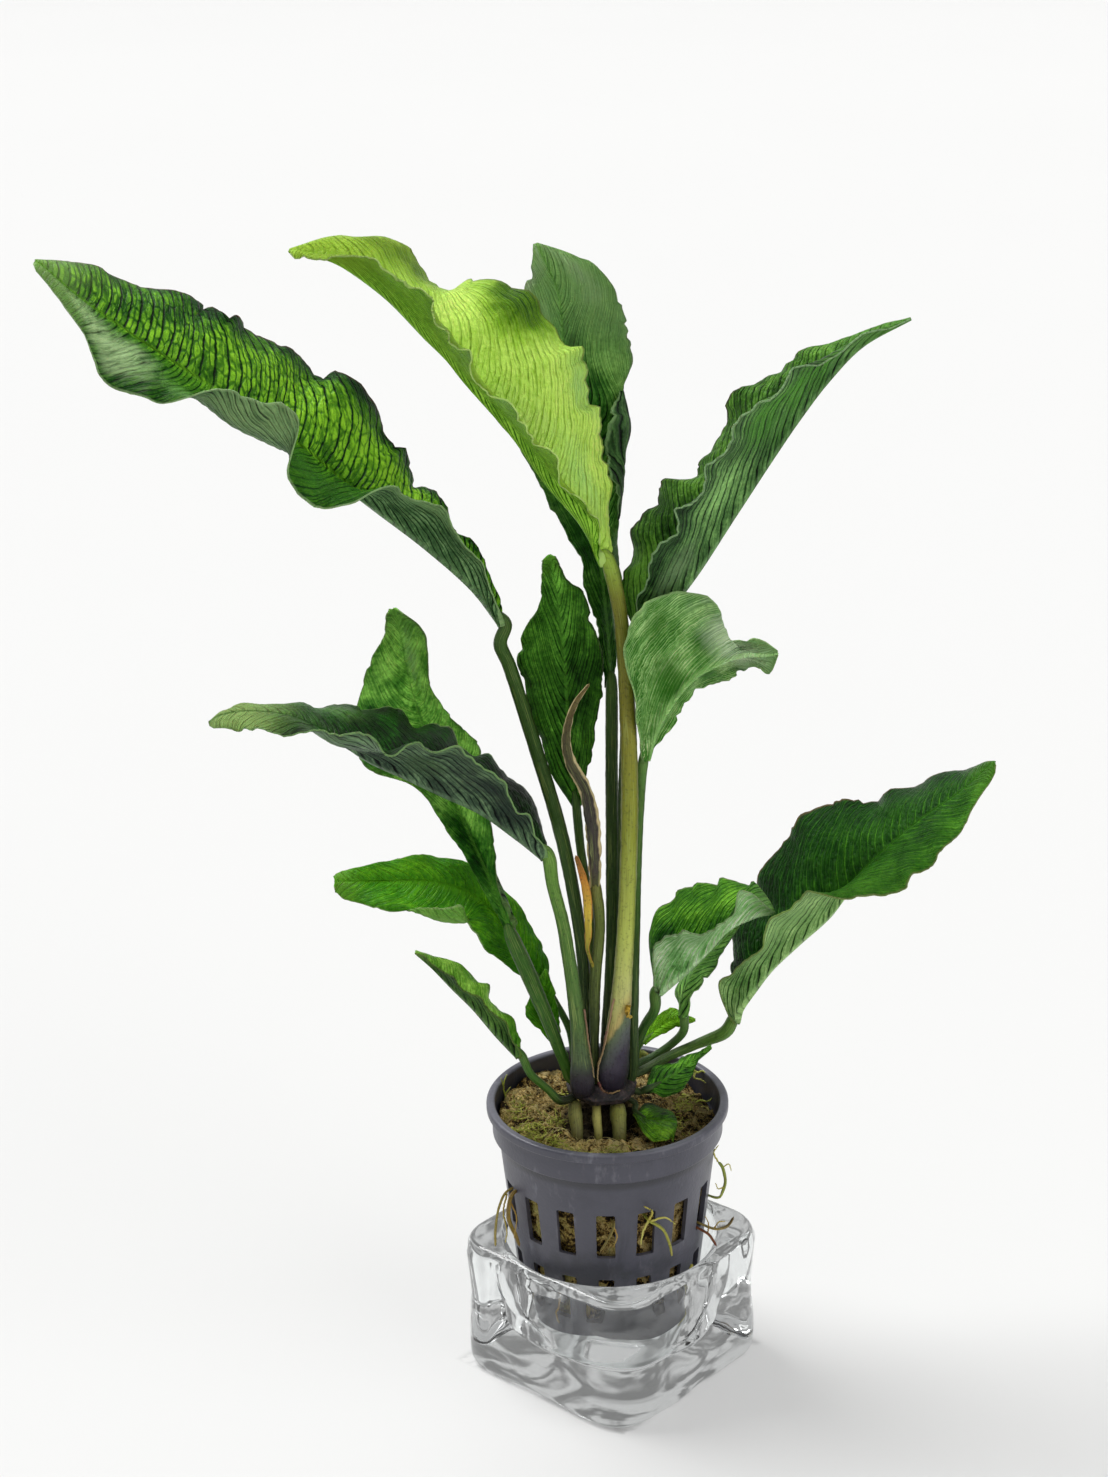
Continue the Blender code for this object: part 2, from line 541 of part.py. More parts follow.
def blade_sheet(leaf):
    """The blade's middle surface, as rows of points from far edge to near edge."""
    rows, columns = leaf["grid"]
    height, waves = leaf["ruffle"]
    rails = blade_rails(leaf)
    sheet = []
    for row, position in enumerate(even_positions(rails[2], rows + 1)):
        far, far_middle, rib, near_middle, near = [curve_through(rail, position) for rail in rails]
        forward = curve_through(rails[2], min(position + SLOPE_STEP, len(rails[2]) - 1))
        back = curve_through(rails[2], max(position - SLOPE_STEP, 0))
        upward = (far - near).cross(forward - back).normalized()
        travel = row / rows
        swell = height * MM * math.sin(math.pi * travel) ** 0.5
        line = []
        for column in range(-columns, columns + 1):
            share = abs(column) / columns
            middle, edge = (far_middle, far) if column < 0 else (near_middle, near)
            turn = math.tau * (waves * travel + (NEAR_RUFFLE_LEAD if column > 0 else 0.0))
            point = across_half(rib, middle, edge, share)
            line.append(point + upward * swell * share ** 2 * math.sin(turn))
        sheet.append(line)
    return sheet


def sheet_normal(sheet, row, column):
    """The direction square to the sheet at one of its points."""
    rows, columns = len(sheet) - 1, len(sheet[0]) - 1
    along = sheet[min(row + 1, rows)][column] - sheet[max(row - 1, 0)][column]
    across = sheet[row][min(column + 1, columns)] - sheet[row][max(column - 1, 0)]
    return across.cross(along).normalized()


def add_leaf(name, leaf, material):
    """A blade as a closed solid, thickest along its midrib."""
    sheet = blade_sheet(leaf)
    columns = leaf["grid"][1]
    solid = bmesh.new()
    layers = []
    for side in (0.5, -0.5):
        layer = []
        for row, line in enumerate(sheet):
            points = []
            for column, point in enumerate(line):
                share = abs(column - columns) / columns
                thickness = LEAF_RIB_THICKNESS + (LEAF_EDGE_THICKNESS - LEAF_RIB_THICKNESS) * share
                shift = sheet_normal(sheet, row, column) * thickness * side
                points.append(solid.verts.new(point + shift))
            layer.append(points)
        layers.append(layer)
    top, bottom = layers
    last_row, last_column = len(sheet) - 1, len(sheet[0]) - 1
    for row in range(last_row):
        for column in range(last_column):
            for layer in layers:
                solid.faces.new((layer[row][column], layer[row][column + 1],
                                 layer[row + 1][column + 1], layer[row + 1][column]))
        for column in (0, last_column):
            solid.faces.new((top[row][column], top[row + 1][column],
                             bottom[row + 1][column], bottom[row][column]))
    for column in range(last_column):
        for row in (0, last_row):
            solid.faces.new((top[row][column], top[row][column + 1],
                             bottom[row][column + 1], bottom[row][column]))
    bmesh.ops.triangulate(solid, faces=solid.faces)
    return add_object(name, mesh_from(name, solid), material)


def add_tube(name, spots, material, roundness=1, start=None):
    """A stem or root: a tapering round tube along a smooth curve. A start replaces the first spot."""
    curve = bpy.data.curves.new(name, "CURVE")
    curve.dimensions = "3D"
    curve.bevel_depth = MM / 2
    curve.bevel_resolution = roundness
    curve.resolution_u = 2
    curve.use_fill_caps = True
    spline = curve.splines.new("BEZIER")
    spline.bezier_points.add(len(spots) - 1)
    for point, (across, up, depth, diameter) in zip(spline.bezier_points, spots):
        point.co = spot(across, up, depth)
        point.radius = diameter
        point.handle_left_type = "AUTO"
        point.handle_right_type = "AUTO"
    if start is not None:
        spline.bezier_points[0].co = start
    path = bpy.data.objects.new(name + "_path", curve)
    mesh = bpy.data.meshes.new_from_object(path)
    bpy.data.objects.remove(path)
    bpy.data.curves.remove(curve)
    tube = bmesh.new()
    tube.from_mesh(mesh)
    bpy.data.meshes.remove(mesh)
    bmesh.ops.remove_doubles(tube, verts=tube.verts, dist=MERGE_DISTANCE)
    return add_object(name, mesh_from(name, tube), material)


def add_block():
    """The clear block: a square with round corners, and a tapering well that seats the pot."""
    shape = bmesh.new()
    bmesh.ops.create_cube(shape, size=1.0)
    bmesh.ops.scale(shape, vec=(BLOCK_SIDE, BLOCK_SIDE, BLOCK_HEIGHT), verts=shape.verts)
    upright = [edge for edge in shape.edges if abs(edge.verts[0].co.z - edge.verts[1].co.z) > MM]
    bmesh.ops.bevel(shape, geom=upright, offset=BLOCK_CORNER, segments=BLOCK_CORNER_SEGMENTS,
                    profile=0.5, affect="EDGES")
    turn = Matrix.Rotation(BLOCK_TURN, 4, "Z")
    move = Matrix.Translation((BLOCK_SHIFT, 0.0, BLOCK_HEIGHT / 2))
    bmesh.ops.transform(shape, matrix=move @ turn, verts=shape.verts)
    material = make_material("clear", CLEAR, CLEAR_ROUGHNESS, transmission=1.0)
    block = add_object("glass_holder", mesh_from("glass_holder", shape), material)
    soften = block.modifiers.new("soft_edges", "BEVEL")
    soften.width = BLOCK_EDGE
    soften.segments = BLOCK_EDGE_SEGMENTS
    soften.limit_method = "ANGLE"
    soften.angle_limit = BLOCK_EDGE_ANGLE
    well = [
        (0.0, BLOCK_HEIGHT + CUT_MARGIN),
        (WELL_MOUTH_RADIUS + WELL_CHAMFER + CUT_MARGIN, BLOCK_HEIGHT + CUT_MARGIN),
        (WELL_MOUTH_RADIUS, BLOCK_HEIGHT - WELL_CHAMFER),
        (WELL_SEAT_RADIUS, POT_BOTTOM),
        (WELL_FLOOR_RADIUS, WELL_FLOOR + WELL_FILLET),
        (WELL_FLOOR_RADIUS - WELL_FILLET, WELL_FLOOR),
        (0.0, WELL_FLOOR),
    ]
    cut(block, add_turned("well", well, WELL_FACETS, collection=CUTTER_COLLECTION))


def shell_radius(height):
    """The pot's outer radius at a height between its foot and its collar."""
    share = (height - POT_BOTTOM) / (COLLAR_BOTTOM - POT_BOTTOM)
    return SHELL_FOOT_RADIUS + (SHELL_TOP_RADIUS - SHELL_FOOT_RADIUS) * share


def add_slot_cutter():
    """Upright slots, evenly round the pot in rows, and round holes in its floor."""
    shape = bmesh.new()
    through = WALL + 2 * CUT_MARGIN
    for low, high, width in SLOT_ROWS:
        middle = (low + high) / 2
        place = Matrix.Translation((0.0, WALL / 2 - shell_radius(middle), middle))
        size = Matrix.Diagonal((width, through, high - low, 1.0))
        for index in range(SLOT_COUNT):
            turn = Matrix.Rotation(SLOT_OFFSET + math.tau * index / SLOT_COUNT, 4, "Z")
            bmesh.ops.create_cube(shape, size=1.0, matrix=turn @ place @ size)
    place = Matrix.Translation((SHELL_FOOT_RADIUS / 2, 0.0, POT_BOTTOM + WALL / 2))
    for index in range(FLOOR_HOLE_COUNT):
        turn = Matrix.Rotation(math.tau * index / FLOOR_HOLE_COUNT, 4, "Z")
        bmesh.ops.create_cone(shape, cap_ends=True, segments=FLOOR_HOLE_FACETS,
                              radius1=FLOOR_HOLE_RADIUS, radius2=FLOOR_HOLE_RADIUS, depth=through,
                              matrix=turn @ place)
    return add_object("slots", mesh_from("slots", shape), collection=CUTTER_COLLECTION)


def add_pot():
    """The net pot: a thin tapering shell with a collar, a rolled rim and slots."""
    profile = [
        (0.0, POT_BOTTOM + WALL),
        (shell_radius(POT_BOTTOM + WALL) - WALL, POT_BOTTOM + WALL),
        (shell_radius(COLLAR_BOTTOM) - WALL, COLLAR_BOTTOM),
        (COLLAR_RADIUS - WALL, COLLAR_BOTTOM + WALL),
        (RIM_INNER_RADIUS, POT_TOP - POT_ROUNDING),
        (RIM_INNER_RADIUS + POT_ROUNDING, POT_TOP),
        (RIM_RADIUS - POT_ROUNDING, POT_TOP),
        (RIM_RADIUS, POT_TOP - POT_ROUNDING),
        (RIM_RADIUS, POT_TOP - RIM_DEPTH),
        (COLLAR_RADIUS, POT_TOP - RIM_DEPTH - POT_ROUNDING),
        (COLLAR_RADIUS, COLLAR_BOTTOM),
        (SHELL_TOP_RADIUS, COLLAR_BOTTOM - POT_ROUNDING),
        (SHELL_FOOT_RADIUS, POT_BOTTOM + POT_ROUNDING),
        (SHELL_FOOT_RADIUS - POT_ROUNDING, POT_BOTTOM),
        (0.0, POT_BOTTOM),
    ]
    material = make_material("grey_plastic", POT_GREY, PLASTIC_ROUGHNESS)
    pot = add_turned("net_pot", profile, POT_FACETS, material)
    pot.rotation_euler.z = SLOT_OFFSET + math.pi / POT_FACETS - math.pi / 2
    cut(pot, add_slot_cutter())


def add_medium():
    """The fibrous growing medium that fills the pot, slightly heaped."""
    floor = POT_BOTTOM + WALL + MEDIUM_GAP
    collar_radius = COLLAR_RADIUS - WALL - MEDIUM_GAP
    profile = [
        (0.0, MEDIUM_TOP + MEDIUM_HEAP),
        (collar_radius / 2, MEDIUM_TOP + MEDIUM_HEAP / 2),
        (collar_radius, MEDIUM_TOP - MEDIUM_HEAP),
        (collar_radius, COLLAR_BOTTOM + WALL + MEDIUM_GAP),
        (shell_radius(COLLAR_BOTTOM) - WALL - MEDIUM_GAP, COLLAR_BOTTOM + MEDIUM_GAP / 2),
        (shell_radius(floor) - WALL - MEDIUM_GAP, floor),
        (0.0, floor),
    ]
    material = make_material("growing_medium", SOIL_BROWN, SOIL_ROUGHNESS)
    add_turned("growing_medium", profile, MEDIUM_FACETS, material)


def add_rhizome():
    """The thick dark rhizome, which lies just above the rim on its prop roots."""
    bpy.ops.mesh.primitive_cylinder_add(vertices=RHIZOME_FACETS, radius=RHIZOME_RADIUS,
                                        depth=RHIZOME_THICKNESS, location=RHIZOME_MIDDLE)
    rhizome = bpy.context.object
    rhizome.name = "rhizome"
    for owner in list(rhizome.users_collection):
        owner.objects.unlink(rhizome)
    get_collection(PART_COLLECTION).objects.link(rhizome)
    rhizome.data.materials.append(make_material("rhizome", RHIZOME_PURPLE, STEM_ROUGHNESS))
    soften = rhizome.modifiers.new("soft_edges", "BEVEL")
    soften.width = RHIZOME_EDGE


def add_leaves():
    """Every blade, each with a material of its own."""
    for name, leaf in LEAVES.items():
        colour = BLADE_COLOURS.get(name, LEAF_GREEN)
        add_leaf(name, leaf, make_material(name, colour, LEAF_ROUGHNESS))


def add_stems():
    """Every stem, from just under its blade to the rhizome."""
    for name, (leaf_name, top_diameter, spots) in STEMS.items():
        base = LEAVES[leaf_name]["base"]
        top = spot(*base)
        start = top + (spot(*spots[0][:3]) - top).normalized() * STEM_GAP
        colour = STEM_OLIVE if name == "stem_top" else STEM_GREEN
        roundness = 2 if top_diameter > THICK_STEM else 1
        material = make_material(name, colour, STEM_ROUGHNESS)
        add_tube(name, [(*base, top_diameter)] + spots, material, roundness, start)


def add_dry_pieces():
    """The withered shoot, its yellow sheath and the cut stub."""
    for name, spots in DRY_PIECES.items():
        add_tube(name, spots, make_material(name, DRY_COLOURS[name], DRY_ROUGHNESS))


def add_roots():
    """The thick prop roots and the fine hanging ones."""
    for name, spots in PROP_ROOTS.items():
        add_tube(name, spots, make_material(name, ROOT_OLIVE, STEM_ROUGHNESS), 2)
    for name, spots in HANGING_ROOTS.items():
        add_tube(name, spots, make_material(name, ROOT_TAN, STEM_ROUGHNESS))


def main():
    """Build every piece in an empty scene."""
    for thing in list(bpy.data.objects):
        bpy.data.objects.remove(thing)
    add_block()
    add_pot()
    add_medium()
    add_rhizome()
    add_leaves()
    add_stems()
    add_dry_pieces()
    add_roots()


if __name__ == "__main__":
    main()
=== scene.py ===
"""Looks of a potted aquarium plant in a clear holder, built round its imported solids.

Units are metres, Z is up, and the origin is the middle of the holder's underside.
"""

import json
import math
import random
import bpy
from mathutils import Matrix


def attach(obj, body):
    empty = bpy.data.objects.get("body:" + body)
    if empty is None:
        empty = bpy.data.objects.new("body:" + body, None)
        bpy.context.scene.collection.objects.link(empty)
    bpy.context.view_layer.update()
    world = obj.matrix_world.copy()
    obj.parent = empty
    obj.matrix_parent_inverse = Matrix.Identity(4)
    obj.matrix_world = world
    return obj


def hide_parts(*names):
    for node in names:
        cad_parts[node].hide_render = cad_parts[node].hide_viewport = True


bl_info = {
    "name": "Potted Aquarium Plant",
    "version": (1, 0, 0),
    "blender": (4, 5, 0),
    "location": "View3D > Sidebar > Plant",
    "description": "Builds the leaves, stalks, roots, pot, growing medium and clear holder of a plant",
    "category": "Object",
}

from collections import namedtuple

import bmesh
import bpy
from bpy.props import FloatProperty, FloatVectorProperty, IntProperty, PointerProperty
from bpy.types import Operator, Panel, PropertyGroup
from mathutils import Matrix, Vector
from mathutils.noise import noise as noise_at

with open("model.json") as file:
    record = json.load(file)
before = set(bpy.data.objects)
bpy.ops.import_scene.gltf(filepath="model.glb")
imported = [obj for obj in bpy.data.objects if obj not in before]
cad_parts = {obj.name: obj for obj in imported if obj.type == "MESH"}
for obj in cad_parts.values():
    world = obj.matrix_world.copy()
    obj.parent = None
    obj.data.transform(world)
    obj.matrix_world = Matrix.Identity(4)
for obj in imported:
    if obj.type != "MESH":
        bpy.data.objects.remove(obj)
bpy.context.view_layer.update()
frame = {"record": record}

MM = 0.001

# The photograph's camera
CAMERA_LENS = 69.154
CAMERA_PLACE = Vector((0.0, -0.574448, 0.371154))
CAMERA_PITCH = math.radians(20.685)
CAMERA_YAW = math.radians(1.080)
CAMERA_ROLL = math.radians(-0.9)

# Drawing sheet that the plant is laid out on. It is square to the line of sight from EYE, and it goes
# through the middle of the pot's rim. A spot is (across, up, depth) in mm: across and up are measured
# on the sheet, and depth is how far back from the pot's middle the spot lies, along world Y.
EYE = Vector((0.0, -574.4, 371.2)) * MM
SHEET_MIDDLE = Vector((0.0, 0.0, 67.0)) * MM
SHEET_LEAN = math.radians(20.7)
SHEET_TURN = math.radians(1.1)
SHEET_ROLL = math.radians(0.9)
SHEET_FACING = (Matrix.Rotation(SHEET_TURN, 3, "Z") @ Matrix.Rotation(-SHEET_LEAN, 3, "X")
                @ Matrix.Rotation(SHEET_ROLL, 3, "Y"))

# Clear holder
BLOCK_SIDE = 0.0525
BLOCK_CORNER = 0.0095
BLOCK_HEIGHT = 0.033
BLOCK_EDGE = 0.0025
BLOCK_TURN = math.radians(50)
BLOCK_SHIFT = 0.0005
WELL_MOUTH_RADIUS = 0.0242
WELL_CHAMFER = 0.0010
WELL_SEAT_RADIUS = 0.0208
WELL_FLOOR_RADIUS = 0.0186
WELL_FILLET = 0.0020
WELL_FLOOR = 0.0095
CHAMFER_BLEND = 0.0008
TOP_BLEND = 0.0004
RIPPLE_HEIGHT = 0.012

# Net pot
POT_BOTTOM = 0.018
POT_TOP = 0.067
RIM_RADIUS = 0.0275
RIM_INNER_RADIUS = 0.0255
RIM_DEPTH = 0.0016
COLLAR_RADIUS = 0.0262
COLLAR_BOTTOM = 0.0592
SHELL_TOP_RADIUS = 0.0249
SHELL_FOOT_RADIUS = 0.0204
WALL = 0.0011
SLOT_COUNT = 16
SLOT_OFFSET = math.radians(-1.5)
SLOT_ROWS = ((0.0385, 0.0500, 0.0042), (0.0225, 0.0325, 0.0035))
FLOOR_HOLE_RADIUS = 0.0035
FLOOR_HOLE_COUNT = 5
FLOOR_INNER_RADIUS = 0.0012
LIP_RADIUS = 0.0007
SMALL_ROUND = 0.0004
FOOT_ROUND = 0.0009
CUTTER_DEPTH = 0.006

# Growing medium
MEDIUM_TOP = 0.0618
MEDIUM_HEAP = 0.0006
MEDIUM_GAP = 0.0005
MEDIUM_RADIUS = COLLAR_RADIUS - WALL - MEDIUM_GAP
MEDIUM_SLOPE = (0.055, 0.03)

# Lumps in the medium's top: (height, grain per mm, shift)
MEDIUM_LUMPS = ((0.0008, 0.16, (3.1, 0.2, 0.0)), (0.0014, 0.36, (0.0, 0.0, 0.0)),
                (0.0008, 1.1, (0.0, 5.0, 0.0)))

# Loose fibres and leaves of moss, from the least to the most
FIBRE_POINTS = 6
FIBRE_STEP = (0.0004, 0.0012)
FIBRE_LIFT = (0.0, 0.0009)
FIBRE_RADIUS = (0.00004, 0.00011)
FIBRE_TINTS = [(70, 52, 26), (122, 100, 58), (160, 140, 92), (196, 184, 130)]
MOSS_LENGTH = (0.0006, 0.0022)
MOSS_RISE = (0.2, 1.1)
MOSS_RADIUS = (0.00009, 0.00020)
MOSS_TINTS = [(92, 96, 24), (128, 140, 36), (158, 164, 52), (184, 190, 84)]

# Rhizome
RHIZOME_MIDDLE = Vector((-0.0010, 0.0010, 0.06945))
RHIZOME_RADIUS = 0.0080
RHIZOME_THICKNESS = 0.0029

# Blades
LEAF_BASE_HALF_WIDTH = 0.0010
LEAF_TIP_HALF_WIDTH = 0.0003
LEAF_CAMBER = 0.10
NEAR_RUFFLE_LEAD = 0.3
SLOPE_STEP = 0.05
COLUMN_CROWDING = 1.35
TIP_SPAN = 0.10
NOTCH_STEEPNESS = 0.15
MOST_CUT_IN = 0.4
MOST_BLUNT = 4.0
KEEL_RADIUS = 0.0002
KEEL_BREADTH = 1.15
FURROW_SHARE = 0.25
VEIN_CURVE = 1.4
VEIN_UNEVENNESS = 0.45
NEAR_VEIN_LEAD = 0.4

# How far apart the small features of a blade are, in mm along it
TOOTH_SPACING = 4.2
FRILL_WAVE = 3.4
FINE_FRILL_WAVE = 1.5
SWELL_WAVE = 9.0
SWELL_WAVE_ACROSS = 7.0
VEIN_WAVER = 13.0

# Points round a part and rows of points, in a full and in a quick build
HOLDER_STEPS, QUICK_HOLDER_STEPS = 224, 96
POT_STEPS, QUICK_POT_STEPS = 192, 64
MEDIUM_STEPS, QUICK_MEDIUM_STEPS = 280, 90
MEDIUM_ROWS, QUICK_MEDIUM_ROWS = 90, 30
RHIZOME_STEPS, RHIZOME_ROWS = 96, 26

# Stalks and roots
TUBE_SLOPE_STEP = 0.02
THINNEST_TUBE = 0.00005
LUMP_SPACING = 1.6
GROOVE_START = 0.55
BLADE_FOOT_SHARE = 0.45
HANGING_ROOT_SCALE = 0.72
STRAND_WAVER = 0.35
SPECK_TINT = (34, 30, 22)
DARK_STREAK = (26, 34, 14)
LIGHT_STREAK = (170, 186, 104)
# Painted shade that darkens both flanks of the stalks and roots
PAINTED_FLANK_SHADE = (24, 32, 12)
DRY_EDGES = {"withered_shoot": (222, 204, 150), "yellow_sheath": (188, 128, 54)}

# Floor and camera
FLOOR_HALF_WIDTH = 8.0
SWEEP_START = 6.0
SWEEP_RADIUS = 2.0
SENSOR_WIDTH = 36.0

# How thick a stalk or root still is where it ends inside what it grows from
ANCHOR_TAPER = 0.8

